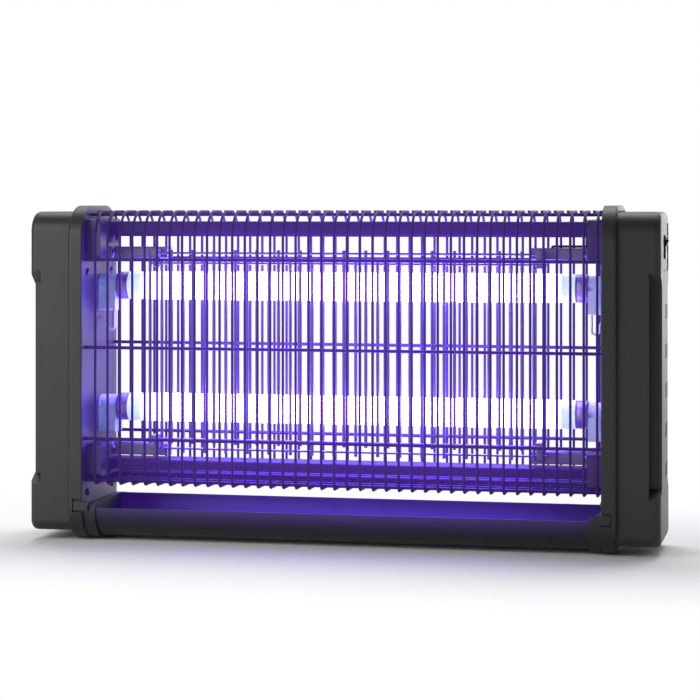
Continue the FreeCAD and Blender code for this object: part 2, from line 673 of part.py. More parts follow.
GRID_LEADS = [(y, "grid_lead_z") for y in ("grid_lead_y", "grid_lead_y + grid_lead_pitch")]


def end_frame(name, pilots, grid_leads=()):
    """Collar and inner wall in one moulding, dished on its outer side to take the cap."""
    body = new_body(name)
    across = ("-collar_half", "collar_half")
    outline = rectangle(across, ("pad_proud", "body_height"), "collar_radius", "collar_radius")
    pad(body, squared(body, "YZ", "inner_half", outline), "collar_width")
    fillet(body, "collar_edge", lambda middle: near(middle.x, "collar_out"))
    fillet(body, "collar_inner_edge", lambda middle: near(middle.x, "inner_half"))
    # the cap's seat, then the housing's opening behind its shoulder
    seat = rectangle(("-cap_half - shadow_gap", "cap_half + shadow_gap"),
                     ("cap_foot - shadow_gap", "cap_top + shadow_gap"),
                     "cap_bottom_radius + shadow_gap", "cap_top_radius + shadow_gap")
    pocket(body, squared(body, "YZ", "collar_out", seat), "cap_overlap", back=True)
    opening = rectangle(("-cap_inner_half", "cap_inner_half"),
                        ("cap_foot + cap_wall", "cap_top - cap_wall"),
                        "cap_bottom_radius - cap_wall", "cap_top_radius - cap_wall")
    pocket(body, squared(body, "YZ", "seat", opening), "seat - plate_out", back=True)
    # tray rail and the boss of the hanging insert
    rail = rectangle(("-rail_half", "rail_half"), ("rail_low", "rail_low + rail_height"))
    pad(body, squared(body, "YZ", "inner_half", rail), "rail_depth", back=True)
    boss = rectangle(("-insert_boss_half", "insert_boss_half"),
                     ("insert_low - insert_floor", "cap_top - cap_wall + 1"))
    pad(body, squared(body, "YZ", "plate_out", boss), "seat - plate_out")
    # pocket for the tray's hook ear
    hook = rectangle(("inner_half - 1", "inner_half + hook_reach + hook_space"),
                     ("hook_low - hook_below", "hook_high + hook_above"))
    pocket(body, squared(body, "XZ", "pocket_floor", hook), "collar_half - pocket_floor + 1")
    # sockets of both guards' cross rods
    sockets = [(f"{sign}({y})", z) for y, z in GUARD_RODS for sign in ("-", "")]
    round_sockets = circles(body, "YZ", "inner_half", "guard_rod / 2 + rod_play", sockets)
    pocket(body, round_sockets, "rod_insert + rod_play")
    # screw holes: caps, lamp holders, carriers and electrical parts
    clear = "screw_radius + screw_play"
    pocket(body, circles(body, "YZ", "inner_half", clear, CAP_SCREWS + HOLDER_SCREWS), "frame_wall")
    pocket(body, circles(body, "YZ", "inner_half", clear, BAR_SCREWS + ARM_SCREWS), "screw_bite + screw_end_play")
    pocket(body, circles(body, "YZ", "plate_out", clear, pilots),
           "part_screw_length - part_flange + screw_end_play", back=True)
    # holes for the wiring
    pocket(body, circles(body, "YZ", "inner_half", "harness_hole", [("0", "harness_z")]), "frame_wall")
    pocket(body, circles(body, "YZ", "inner_half", "lead_hole", LEADS), "frame_wall")
    if grid_leads:
        pocket(body, circles(body, "YZ", "inner_half", "grid_lead_hole", grid_leads), "frame_wall")
    # hole of the hanging insert and recesses of the foot pads
    pocket(body, circles(body, "XY", "insert_low", "insert_radius + insert_play", [("insert_x", "0")]),
           "insert_length + 1")
    for sign in ("-", ""):
        recess = rectangle(("pad_x - pad_width / 2 - pad_play", "pad_x + pad_width / 2 + pad_play"),
                           (f"{sign}pad_y - pad_length / 2 - pad_play", f"{sign}pad_y + pad_length / 2 + pad_play"))
        pocket(body, squared(body, "XY", "pad_proud - 1", recess), "pad_sunk + 1")
    return body


def carriers(name, grid_leads=()):
    """Two blocks on an end frame's inner wall that carry the tie bars and the insulator arms."""
    body = new_body(name)
    for low, high in (("upper_carrier_low", "upper_carrier_high"), ("lower_carrier_low", "lower_carrier_high")):
        outline = rectangle(("carrier_front", "carrier_rear"), (low, high), "carrier_radius", "carrier_radius")
        pad(body, squared(body, "YZ", "carrier_in", outline), "carrier_length")
    clear = "screw_radius + screw_play"
    pocket(body, circles(body, "YZ", "carrier_in", clear, BAR_SCREWS + ARM_SCREWS), "carrier_length")
    pocket(body, circles(body, "YZ", "carrier_in", "harness_hole", [("0", "harness_z")]), "carrier_length")
    if grid_leads:
        pocket(body, circles(body, "YZ", "carrier_in", "grid_lead_hole", grid_leads), "carrier_length")
    return body


keep("right_end_frame", end_frame("RightFrame", TRANSFORMER_SCREWS, GRID_LEADS))
keep("left_end_frame", mirrored(end_frame("LeftFrame", BALLAST_SCREWS)))
keep("right_carriers", carriers("RightCarriers", GRID_LEADS))
keep("left_carriers", mirrored(carriers("LeftCarriers")))


# ---------------------------------------------------------------- end caps

def end_cap(name, switch_end):
    """Hollow moulded housing with a grip notch down each outer corner."""
    body = new_body(name)
    outline = rectangle(("-cap_half", "cap_half"), ("cap_foot", "cap_top"), "cap_bottom_radius", "cap_top_radius")
    pad(body, squared(body, "YZ", "seat", outline), "cap_out - seat")
    fillet(body, "cap_end_radius", lambda middle: near(middle.x, "cap_out"))
    # the notch clears the cavity, which is narrower near the end face
    cavity = rectangle(("-cap_inner_half", "cap_inner_half"), ("cap_foot + cap_wall", "cap_top - cap_wall"),
                       "cap_bottom_radius - cap_wall", "cap_top_radius - cap_wall")
    pocket(body, squared(body, "YZ", "seat", cavity), "notch_x - cap_wall - seat")
    end_cavity = rectangle(("cap_wall - notch_y", "notch_y - cap_wall"),
                           ("cap_foot + 2 * cap_wall", "cap_top - 2 * cap_wall"))
    pocket(body, squared(body, "YZ", "seat", end_cavity), "cap_out - cap_wall - seat")
    for sign in ("-", ""):
        notch = [(f"{sign}(cap_half + 2)", "notch_top + 2"), (f"{sign}cap_half", "notch_top"),
                 (f"{sign}notch_y", "notch_top - notch_top_ramp"),
                 (f"{sign}notch_y", "notch_bottom + notch_bottom_ramp"),
                 (f"{sign}cap_half", "notch_bottom"), (f"{sign}(cap_half + 2)", "notch_bottom - 2")]
        pocket(body, polygon(body, "YZ", "notch_x", notch), "notch_length + 1")
    fillet(body, "notch_edge", lambda middle: near(middle.x, "cap_out") and near(abs(middle.y), "notch_y"))
    # ventilation slots
    first = "vent_middle - (vent_slots - 1) * vent_slot_pitch / 2 - vent_slot_width / 2"
    slot = rectangle((first, f"{first} + vent_slot_width"),
                     ("vent_lowest - vent_slot_height / 2", "vent_lowest + vent_slot_height / 2"))
    one_slot = pocket(body, squared(body, "YZ", "cap_out", slot), "cap_wall + 0.5", back=True)
    vents = body.newObject("PartDesign::MultiTransform", "Vents")
    vents.Originals = [one_slot]
    along = body.newObject("PartDesign::LinearPattern", "Slots")
    along.Direction = (origin_feature(body, "Y_Axis"), [""])
    along.setExpression("Length", formula("(vent_slots - 1) * vent_slot_pitch"))
    along.setExpression("Occurrences", formula("vent_slots"))
    up = body.newObject("PartDesign::LinearPattern", "Rows")
    up.Direction = (origin_feature(body, "Z_Axis"), [""])
    up.setExpression("Length", formula("(vent_rows - 1) * vent_row_pitch"))
    up.setExpression("Occurrences", formula("vent_rows"))
    vents.Transformations = [along, up]
    body.Tip = vents
    # pillars for the screws that come through the end frame
    pillar_length = "notch_x - cap_wall - seat + 0.5"
    pad(body, circles(body, "YZ", "seat", "cap_pillar", CAP_SCREWS), pillar_length)
    pocket(body, circles(body, "YZ", "seat", "screw_radius + screw_play", CAP_SCREWS),
           "inner_half + cap_screw_length - seat + 1")
    if switch_end:
        panel = rectangle(("panel_front", "panel_rear"), ("panel_low", "panel_high"), "panel_radius", "panel_radius")
        pocket(body, squared(body, "YZ", "cap_out", panel), "panel_depth", back=True)
        hole = rectangle(("switch_y - switch_body_width / 2 - switch_play",
                          "switch_y + switch_body_width / 2 + switch_play"),
                         ("switch_z - switch_body_height / 2 - switch_play",
                          "switch_z + switch_body_height / 2 + switch_play"))
        pocket(body, squared(body, "YZ", "cap_out", hole), "cap_wall + 0.5", back=True)
        entry = circles(body, "XZ", "-cap_half - 1", "bush_radius + bush_play", [("bush_x", "bush_z")])
        pocket(body, entry, "cap_wall + 2")
    return body


keep("right_end_cap", end_cap("RightCap", True))
keep("left_end_cap", mirrored(end_cap("LeftCap", False)))


# ---------------------------------------------------------------- wire guards

def guard_wires(name):
    """Wires bent from the top edge round the front to an inturned leg, one behind another along X."""
    body = new_body(name)
    bends = [("-guard_meeting / 2", "guard_top", None), ("-guard_front", "guard_top", "guard_bend"),
             ("-guard_front", "guard_foot", "guard_foot_radius"),
             ("guard_leg - guard_front", "guard_foot", None)]
    path = squared(body, "YZ", "guard_start", bends, closed=False)
    section = circles(body, "XZ", "guard_meeting / 2", "guard_wire / 2", [("guard_start", "guard_top")])
    row_of(body, pipe(body, path, section), "X", "guard_gaps * guard_pitch", "guard_gaps + 1")
    return body


guard_rods = [rod("x", "guard_rod / 2", "-rod_half", "rod_half", f"-({y})", z) for y, z in GUARD_RODS]
front_guard = keep("front_guard", group(guard_wires("GuardWires"), *guard_rods))
rear_guard = keep("rear_guard", group(front_guard))
rear_guard.Placement = FreeCAD.Placement(FreeCAD.Vector(), FreeCAD.Rotation(FreeCAD.Vector(0, 0, 1), 180))


# ---------------------------------------------------------------- tie bars

def tie_bar(name, top, front, rear, tab, screw, harness):
    """Channel of folded sheet with a tab at each end, screwed to the carrier blocks."""
    body = new_body(name)
    inner = "bar_bend - bar_sheet"
    channel = [("-bar_half", f"{top} - {front}", None),
               ("bar_sheet - bar_half", f"{top} - {front}", None),
               ("bar_sheet - bar_half", f"{top} - bar_sheet", inner),
               ("bar_half - bar_sheet", f"{top} - bar_sheet", inner),
               ("bar_half - bar_sheet", f"{top} - {rear}", None),
               ("bar_half", f"{top} - {rear}", None),
               ("bar_half", top, "bar_bend"),
               ("-bar_half", top, "bar_bend")]
    pad(body, squared(body, "YZ", "-carrier_in", channel), "2 * carrier_in")
    for end in ("-carrier_in", "bar_face"):
        outline = rectangle(("-tab_half", "tab_half"), (f"{top} - {tab}", f"{top} - bar_sheet"), "bar_bend")
        pad(body, squared(body, "YZ", end, outline), "bar_sheet")
    holes = [("-bar_screw_y", screw), ("bar_screw_y", screw)]
    pocket(body, circles(body, "YZ", "-carrier_in", "screw_radius + screw_play", holes), "2 * carrier_in")
    if harness:
        pocket(body, circles(body, "YZ", "-carrier_in", "harness_hole", [("0", "harness_z")]), "2 * carrier_in")
    return body


keep("top_tie_bar", tie_bar("TopBar", "upper_bar_top", "upper_bar_front", "upper_bar_rear",
                            "upper_tab_height", "upper_bar_screw", True))
keep("bottom_tie_bar", tie_bar("BottomBar", "lower_bar_top", "lower_bar_flange", "lower_bar_flange",
                               "lower_tab_height", "lower_bar_screw", False))


# ---------------------------------------------------------------- high-voltage grid

def comb(name, y, low, high, rods, first, gaps):
    """A row of upright wires welded to two cross rods."""
    body = new_body(name)
    wire = pad(body, circles(body, "XY", low, "grid_wire / 2", [(first, y)]), f"{high} - {low}")
    row_of(body, wire, "X", f"{gaps} * 2 * grid_pitch", f"{gaps} + 1")
    pad(body, circles(body, "YZ", "-grid_rod_half", "grid_rod / 2", rods), "2 * grid_rod_half")
    return body


keep("live_grid", comb("LiveGrid", "live_y", "live_low", "live_high",
                       [("live_rod_y", "live_rod_low"), ("live_rod_y", "live_rod_high")],
                       "-2 * grid_steps * grid_pitch", "2 * grid_steps"))
keep("return_grid", comb("ReturnGrid", "return_y", "return_low", "return_high",
                         [("return_rod_y", "return_rod_low"), ("return_rod_y", "return_rod_high")],
                         "(1 - 2 * grid_steps) * grid_pitch", "(2 * grid_steps - 1)"))


def insulator(name, low, high, live, back, upper, leads):
    """Arm with a screwed foot and an ear that holds one rod of each comb."""
    body = new_body(name)
    outline = rectangle(("arm_front", "arm_rear"), (low, high), "arm_radius", "arm_crown")
    pad(body, squared(body, "YZ", "arm_in", outline), "carrier_in - arm_in")
    foot = rectangle(("arm_front - arm_foot_reach", "arm_rear + arm_foot_reach"), (low, high),
                     "arm_radius", "arm_radius")
    pad(body, squared(body, "YZ", "carrier_in - arm_foot", foot), "arm_foot")
    # the return rod's ear, then the live rod's
    span = (f"{back} - ear_half", f"{low} + 2 * ear_half") if upper else (f"{back} - ear_half", f"{live} + ear_half")
    near_ear = rectangle(("return_rod_y - ear_half", "arm_front + 2"), span, "arm_radius")
    pad(body, squared(body, "YZ", "ear_x - ear_width / 2", near_ear), "ear_width")
    far_ear = rectangle(("live_rod_y - ear_half", "arm_front + 2" if upper else "return_rod_y"),
                        (f"{live} - ear_half", f"{live} + ear_half"))
    pad(body, squared(body, "YZ", "ear_x - ear_width / 2", far_ear), "ear_width")
    rods = [("live_rod_y", live), ("return_rod_y", back)]
    pocket(body, circles(body, "YZ", "ear_x - ear_width", "grid_rod / 2 + ear_play", rods), "2 * ear_width")
    screws = [(y, f"({low} + {high}) / 2")
              for y in ("arm_front - arm_foot_reach / 2", "arm_rear + arm_foot_reach / 2")]
    pocket(body, circles(body, "YZ", "carrier_in - arm_foot", "screw_radius + screw_play", screws), "arm_foot")
    if leads:
        sockets = circles(body, "XY", high, "grid_lead_hole", [("arm_lead_x", y) for y, _ in GRID_LEADS])
        pocket(body, sockets, "grid_lead_sunk + grid_lead_play", back=True)
    return body


UPPER_ARM = ("upper_arm_low", "upper_arm_high", "live_rod_high", "return_rod_high", True)
LOWER_ARM = ("lower_arm_low", "lower_arm_high", "live_rod_low", "return_rod_low", False)
keep("upper_right_insulator", insulator("UpperRightArm", *UPPER_ARM, True))
keep("upper_left_insulator", mirrored(insulator("UpperLeftArm", *UPPER_ARM, False)))
lower_arm = keep("lower_right_insulator", insulator("LowerArm", *LOWER_ARM, False))
keep("lower_left_insulator", mirrored(lower_arm))


# ---------------------------------------------------------------- lamps and their holders

def lamp_holder(name, axis, loops):
    """Holder with a bore for the turning piece, an entry slot in front and moulding recesses."""
    body = new_body(name)
    outline = rectangle(("lamp_y - holder_half", "lamp_y + holder_half"),
                        (f"{axis} - holder_tail", f"{axis} + holder_half"),
                        "arm_radius", "holder_half - 0.1")
    pad(body, squared(body, "YZ", "holder_face", outline), "inner_half - holder_face")
    bore = circles(body, "YZ", "holder_face", "rotor_radius + rotor_play", [("lamp_y", axis)])
    pocket(body, bore, "rotor_back + rotor_end_play - holder_face")
    entry = rectangle(("holder_face - 1", "slot_floor"),
                      (f"{axis} - holder_slot / 2", f"{axis} + holder_slot / 2"))
    pocket(body, squared(body, "XZ", "-lamp_y", entry), "holder_half + 1")
    back = ("rotor_back + rotor_end_play + holder_shell", "inner_half - holder_shell")
    for low, high in ((f"{axis} - holder_screw_drop + screw_head", f"{axis} - holder_shell / 2"),
                      (f"{axis} + holder_shell / 2", f"{axis} + holder_half / 2")):
        recess = squared(body, "XZ", "holder_half - lamp_y + 1", rectangle(back, (low, high)))
        pocket(body, recess, "holder_recess + 1", back=True)
    screw = circles(body, "YZ", "inner_half", "screw_radius + screw_play",
                    [("lamp_y", f"{axis} - holder_screw_drop")])
    pocket(body, screw, "holder_screw_length - frame_wall + 1", back=True)
    if loops:
        sockets = [("lead_out", "lead_y"), ("lead_out", "lead_y + lead_pitch")]
        pocket(body, circles(body, "XY", f"{axis} - holder_tail", "lead_hole - 0.3", sockets), "lead_inside + 1")
    else:
        sockets = [("lead_y", axis), ("lead_y + lead_pitch", axis)]
        pocket(body, circles(body, "YZ", "inner_half", "lead_hole - 0.3", sockets), "lead_inside + 1", back=True)
    return body


def lamp(prefix, axis):
    """Glass tube, metal caps, contact pins and the holders' turning pieces, which turn together."""
    where = ("lamp_y", axis)
    radius = "lamp_diameter / 2"
    bore = rod("x", f"{radius} - lamp_glass", "-glass_half", "glass_half", *where)
    keep(f"{prefix}_lamp_glass", cut(rod("x", radius, "-glass_half", "glass_half", *where), bore))
    cap = new_body(prefix.title() + "LampCap")
    pad(cap, circles(cap, "YZ", "glass_half", f"{radius} - lamp_cap_wall / 2", [where]), "lamp_cap_length")
    pocket(cap, circles(cap, "YZ", "glass_half", f"{radius} - 1.5 * lamp_cap_wall", [where]),
           "lamp_cap_length - 2 * lamp_cap_wall")
    pins = [("lamp_y", f"{axis} - pin_spacing / 2"), ("lamp_y", f"{axis} + pin_spacing / 2")]
    pocket(cap, circles(cap, "YZ", "glass_half", "pin_diameter / 2", pins), "lamp_cap_length")
    keep(f"{prefix}_lamp_caps", both_sides(cap))
    contacts = [rod("x", "pin_diameter / 2", "lamp_half - 3 * lamp_cap_wall", "lamp_half + pin_length", *pin)
                for pin in pins]
    keep(f"{prefix}_lamp_pins", both_sides(group(*contacts)))
    slot = block(("rotor_face - 1", "slot_floor"),
                 ("lamp_y - pin_diameter / 2 - pin_play", "lamp_y + pin_diameter / 2 + pin_play"),
                 (f"{axis} - rotor_radius - 1", f"{axis} + rotor_radius + 1"))
    rotor = cut(rod("x", "rotor_radius", "rotor_face", "rotor_back", *where), slot)
    keep(f"{prefix}_lamp_rotors", both_sides(rotor))


for prefix, axis, loops in (("upper", "upper_lamp", True), ("lower", "lower_lamp", False)):
    holder = keep(f"{prefix}_right_holder", lamp_holder(prefix.title() + "Holder", axis, loops))
    keep(f"{prefix}_left_holder", mirrored(holder))
    lamp(prefix, axis)


# ---------------------------------------------------------------- tray

pan = new_body("Pan")
inner = "tray_radius - tray_sheet"
trough = [("-tray_front", "tray_lip", None), ("-tray_front", "tray_bottom", "tray_radius"),
          ("tray_front", "tray_bottom", "tray_radius"), ("tray_front", "tray_back", None),
          ("tray_front - tray_sheet", "tray_back", None),
          ("tray_front - tray_sheet", "tray_bottom + tray_sheet", inner),
          ("tray_sheet - tray_front", "tray_bottom + tray_sheet", inner),
          ("tray_sheet - tray_front", "tray_lip", None)]
pad(pan, squared(pan, "YZ", "-tray_half", trough), "2 * tray_half")
for x in ("-rivet_x", "rivet_x"):
    rear_hole = circles(pan, "XZ", "tray_sheet + 1 - tray_front", "rivet_radius + rivet_play", [(x, "rivet_z")])
    pocket(pan, rear_hole, "2 * tray_sheet + 2", back=True)
    floor_holes = circles(pan, "XY", "tray_bottom", "rivet_radius + rivet_play", [(x, "-rivet_y"), (x, "rivet_y")])
    pocket(pan, floor_holes, "tray_sheet")
keep("tray_pan", pan)

end = new_body("TrayEnd")
shape = rectangle(("-band_out", "band_out"), ("band_bottom", "tray_end_top"), "tray_radius + tray_fit + tray_band_wall")
pad(end, squared(end, "YZ", "tray_end_in", shape), "tray_end_out - tray_end_in")
inside = rectangle(("-band_in", "band_in"), ("tray_bottom - tray_fit", "tray_end_top + 1"), "tray_radius + tray_fit")
pocket(end, squared(end, "YZ", "tray_end_in", inside), "tray_plate - tray_end_in")
groove = rectangle(("inner_half - rail_depth - rail_play", "tray_end_out + 1"),
                   ("rail_low - rail_play", "rail_low + rail_height + rail_play"))
pocket(end, squared(end, "XZ", "groove_front", groove), "groove_front + band_out + 1", back=True)
ear = rectangle(("tray_plate", "inner_half + hook_reach"), ("hook_low", "hook_high"))
pad(end, squared(end, "XZ", "hook_back", ear), "hook_thickness")
root = rectangle(("tray_plate", "tray_end_out"), ("hook_low", "hook_high"))
pad(end, squared(end, "XZ", "band_in", root), "hook_back + hook_thickness - band_in")
rear_hole = circles(end, "XZ", "-band_out - 1", "rivet_radius + rivet_play", [("rivet_x", "rivet_z")])
pocket(end, rear_hole, "tray_band_wall + 2")
floor_holes = circles(end, "XY", "band_bottom", "rivet_radius + rivet_play",
                      [("rivet_x", "-rivet_y"), ("rivet_x", "rivet_y")])
pocket(end, floor_holes, "tray_band_wall + 1")
keep("tray_right_end", end)
keep("tray_left_end", mirrored(end))

rivets = new_body("Rivets")
rear_head = circles(rivets, "XZ", "-band_out", "rivet_head", [("rivet_x", "rivet_z")])
pad(rivets, rear_head, "rivet_head_height", back=True)
pad(rivets, circles(rivets, "XZ", "-band_out", "rivet_radius", [("rivet_x", "rivet_z")]),
    "band_out - tray_front + tray_sheet")
floor = [("rivet_x", "-rivet_y"), ("rivet_x", "rivet_y")]
pad(rivets, circles(rivets, "XY", "tray_bottom + tray_sheet", "rivet_head", floor), "rivet_head_height")
pad(rivets, circles(rivets, "XY", "band_bottom", "rivet_radius", floor), "tray_bottom + tray_sheet - band_bottom")
keep("tray_rivets", both_sides(rivets))


# ---------------------------------------------------------------- rocker switch

switch = new_body("Switch")
rim = rectangle(("switch_y - bezel_width / 2", "switch_y + bezel_width / 2"),
                ("switch_z - bezel_height / 2", "switch_z + bezel_height / 2"), "rocker_dip", "rocker_dip")
pad(switch, squared(switch, "YZ", "panel_x", rim), "bezel_thickness")
case = rectangle(("switch_y - switch_body_width / 2", "switch_y + switch_body_width / 2"),
                 ("switch_z - switch_body_height / 2", "switch_z + switch_body_height / 2"))
pad(switch, squared(switch, "YZ", "switch_back", case), "switch_body_depth")
well = rectangle(("switch_y - rocker_width / 2 - rocker_play", "switch_y + rocker_width / 2 + rocker_play"),
                 ("switch_z - switch_opening / 2", "switch_z + switch_opening / 2"))
pocket(switch, squared(switch, "YZ", "bezel_x", well), "bezel_x - rocker_x + 2 * rocker_foot + rocker_play", back=True)
bearing = circles(switch, "XZ", "-switch_y - switch_body_width / 2", "trunnion_radius + trunnion_play",
                  [("rocker_x", "switch_z")])
pocket(switch, bearing, "switch_body_width")
for step in ("-terminal_pitch", "0", "terminal_pitch"):
    blade = rectangle(("switch_y - terminal_width / 2", "switch_y + terminal_width / 2"),
                      (f"switch_z + {step} - terminal_thickness / 2", f"switch_z + {step} + terminal_thickness / 2"))
    pad(switch, squared(switch, "YZ", "switch_back", blade), "terminal_length", back=True)
keep("switch_body", switch)

rocker = new_body("Rocker")
profile = [("-rocker_foot", "0.85 * rocker_reach"), ("-rocker_foot", "-0.85 * rocker_reach"),
           ("rocker_rise", "-rocker_reach"), ("rocker_rise - rocker_dip", "0"), ("rocker_rise", "rocker_reach")]
pad(rocker, polygon(rocker, "XZ", "-rocker_width / 2", profile), "rocker_width")
stubs = circles(rocker, "XZ", "-rocker_width / 2 - trunnion_length", "trunnion_radius", [("0", "0")])
pad(rocker, stubs, "rocker_width + 2 * trunnion_length")
rocker.Placement = FreeCAD.Placement(FreeCAD.Vector(), FreeCAD.Rotation(FreeCAD.Vector(0, 1, 0), 10))
for axis, place in zip("xyz", ("rocker_x", "switch_y", "switch_z")):
    rocker.setExpression(f"Placement.Base.{axis}", formula(place))
rocker.setExpression("Placement.Rotation.Angle", formula("rocker_tilt"))
keep("switch_rocker", rocker)


# ---------------------------------------------------------------- small parts

def feet():
    return [block(("pad_x - pad_width / 2", "pad_x + pad_width / 2"),
                  (f"{sign}pad_y - pad_length / 2", f"{sign}pad_y + pad_length / 2"),
                  ("0", "pad_proud + pad_sunk")) for sign in ("-", "")]


keep("foot_pads", both_sides(group(*feet())))
threads = cut(rod("z", "insert_radius", "insert_low", "body_height", "insert_x", "0"),
              rod("z", "insert_bore", "insert_low", "body_height", "insert_x", "0"))
keep("hanging_inserts", both_sides(threads))

bush = new_body("Bush")
entry = [("bush_x", "bush_z")]
pad(bush, circles(bush, "XZ", "-cap_half", "bush_flange", entry), "bush_flange_height", back=True)
pad(bush, circles(bush, "XZ", "-cap_half", "bush_radius", entry), "bush_barrel")
pocket(bush, circles(bush, "XZ", "-cap_half - bush_flange_height", "bush_bore", entry),
       "bush_flange_height + bush_barrel")
keep("lead_bush", bush)


def screws(name, centres, face, length, outward=True):
    """Screws along X whose heads bear on a face; outward ones run away from the middle."""
    body = new_body(name)
    pad(body, circles(body, "YZ", face, "screw_head", centres), "screw_head_height", back=outward)
    pad(body, circles(body, "YZ", face, "screw_radius", centres), length, back=not outward)
    return body


cap_screws = keep("right_cap_screws", screws("CapScrews", CAP_SCREWS, "inner_half", "cap_screw_length"))
keep("left_cap_screws", mirrored(cap_screws))
keep("tie_bar_screws", both_sides(screws("BarScrews", BAR_SCREWS, "bar_face", "inner_half + screw_bite - bar_face")))
keep("insulator_screws",
     both_sides(screws("ArmScrews", ARM_SCREWS, "carrier_in - arm_foot",
                       "inner_half + screw_bite - carrier_in + arm_foot")))
keep("holder_screws",
     both_sides(screws("HolderScrews", HOLDER_SCREWS, "plate_out", "holder_screw_length", outward=False)))
keep("ballast_screws", mirrored(screws("BallastScrews", BALLAST_SCREWS, "plate_out + part_flange",
                                       "part_screw_length", outward=False)))
keep("transformer_screws", screws("TransformerScrews", TRANSFORMER_SCREWS, "plate_out + part_flange",
                                  "part_screw_length", outward=False))


# ---------------------------------------------------------------- electrical parts in the end housings

def wound_part(name, centre, width, height, depth, pilots):
    """Iron-cored part with a screwed flange above and below."""
    body = new_body(name)
    flange = rectangle((f"-{width} / 2", f"{width} / 2"),
                       (f"{centre} - {height} / 2 - ballast_foot", f"{centre} + {height} / 2 + ballast_foot"))
    pad(body, squared(body, "YZ", "plate_out", flange), "part_flange")
    core = rectangle((f"-{width} / 2", f"{width} / 2"), (f"{centre} - {height} / 2", f"{centre} + {height} / 2"))
    pad(body, squared(body, "YZ", "plate_out", core), depth)
    pocket(body, circles(body, "YZ", "plate_out", "screw_radius + screw_play", pilots), "part_flange")
    return body


for place, pilots in (("upper", BALLAST_SCREWS[:2]), ("lower", BALLAST_SCREWS[2:])):
    ballast = wound_part(place.title() + "Ballast", f"{place}_ballast_z", "ballast_width", "ballast_height",
                         "ballast_depth", pilots)
    keep(f"{place}_ballast", mirrored(ballast))
keep("voltage_transformer", wound_part("Transformer", "transformer_z", "transformer_width",
                                       "transformer_height", "transformer_depth", TRANSFORMER_SCREWS))

sockets = []
cans = []
for y in ("-starter_y", "starter_y"):
    sockets.append(rod("x", "socket_radius", "plate_out", "plate_out + socket_height", y, "starter_z"))
    cans.append(rod("x", "starter_radius", "plate_out + socket_height",
                    "plate_out + socket_height + starter_length", y, "starter_z"))
keep("starter_sockets", mirrored(group(*sockets)))
keep("starters", mirrored(group(*cans)))

board = new_body("Board")
plate = rectangle(("-board_half", "board_half"), ("board_low", "board_high"))
pad(board, squared(board, "YZ", "plate_out + board_standoff", plate), "board_thickness")
legs = [(y, z) for y in ("3 - board_half", "board_half - 3") for z in ("board_low + 3", "board_high - 3")]
pad(board, circles(board, "YZ", "plate_out", "screw_radius", legs), "board_standoff")
drums = [(y, f"board_low + {step} * (board_high - board_low) / 6")
         for y in ("-board_half / 2", "board_half / 2") for step in (1, 3, 5)]
pad(board, circles(board, "YZ", "plate_out + board_standoff + board_thickness", "capacitor_radius", drums),
    "capacitor_height")
keep("multiplier_board", board)
keep("terminal_block", block(("plate_out", "plate_out + terminal_depth"), ("-terminal_half", "terminal_half"),
                             ("terminal_low", "terminal_high")))


# ---------------------------------------------------------------- wiring

harness = new_body("Harness")
run = squared(harness, "XZ", "0", [("-harness_reach", "harness_end", None),
                                   ("-harness_reach", "harness_z", "harness_bend"),
                                   ("harness_reach", "harness_z", "harness_bend"),
                                   ("harness_reach", "harness_end", None)], closed=False)
pipe(harness, run, circles(harness, "XY", "harness_end", "harness_radius", [("-harness_reach", "0")]))
keep("cross_harness", harness)

loops = new_body("LeadLoops")
run = squared(loops, "XZ", "-lead_y", [("lead_out", "upper_lamp - holder_tail + lead_inside", None),
                                       ("lead_out", "loop_foot", "lead_bend"),
                                       ("lead_back", "loop_foot", "lead_bend"),
                                       ("lead_back", "loop_exit", "lead_bend"),
                                       ("plate_out + lead_inside", "loop_exit", None)], closed=False)
end_on = circles(loops, "XY", "upper_lamp - holder_tail + lead_inside", "lead_radius", [("lead_out", "lead_y")])
row_of(loops, pipe(loops, run, end_on), "Y", "lead_pitch", "2")
short_leads = [rod("x", "lead_radius", "inner_half - lead_inside", "plate_out + lead_inside", y, "lower_lamp")
               for y in ("lead_y", "lead_y + lead_pitch")]
keep("holder_leads", both_sides(group(loops, *short_leads)))

feeds = new_body("GridLeads")
run = squared(feeds, "XZ", "-grid_lead_y", [("arm_lead_x", "upper_arm_high - grid_lead_sunk", None),
                                            ("arm_lead_x", "grid_lead_z", "grid_lead_bend"),
                                            ("plate_out + 2 * lead_inside", "grid_lead_z", None)], closed=False)
end_on = circles(feeds, "XY", "upper_arm_high - grid_lead_sunk", "grid_lead_radius", [("arm_lead_x", "grid_lead_y")])
row_of(feeds, pipe(feeds, run, end_on), "Y", "grid_lead_pitch", "2")
keep("grid_leads", feeds)


# ---------------------------------------------------------------- check and write

doc.recompute()
for thing in doc.Objects:
    if "Invalid" in thing.State or "Error" in thing.State:
        raise RuntimeError(f"{thing.Label} does not recompute")
os.makedirs("parts", exist_ok=True)
for piece in pieces:
    if piece.Shape.isNull() or not piece.Shape.isValid():
        raise RuntimeError(f"{piece.Label} has no valid shape")
    piece.Shape.exportStep(f"parts/{piece.Label}.step")
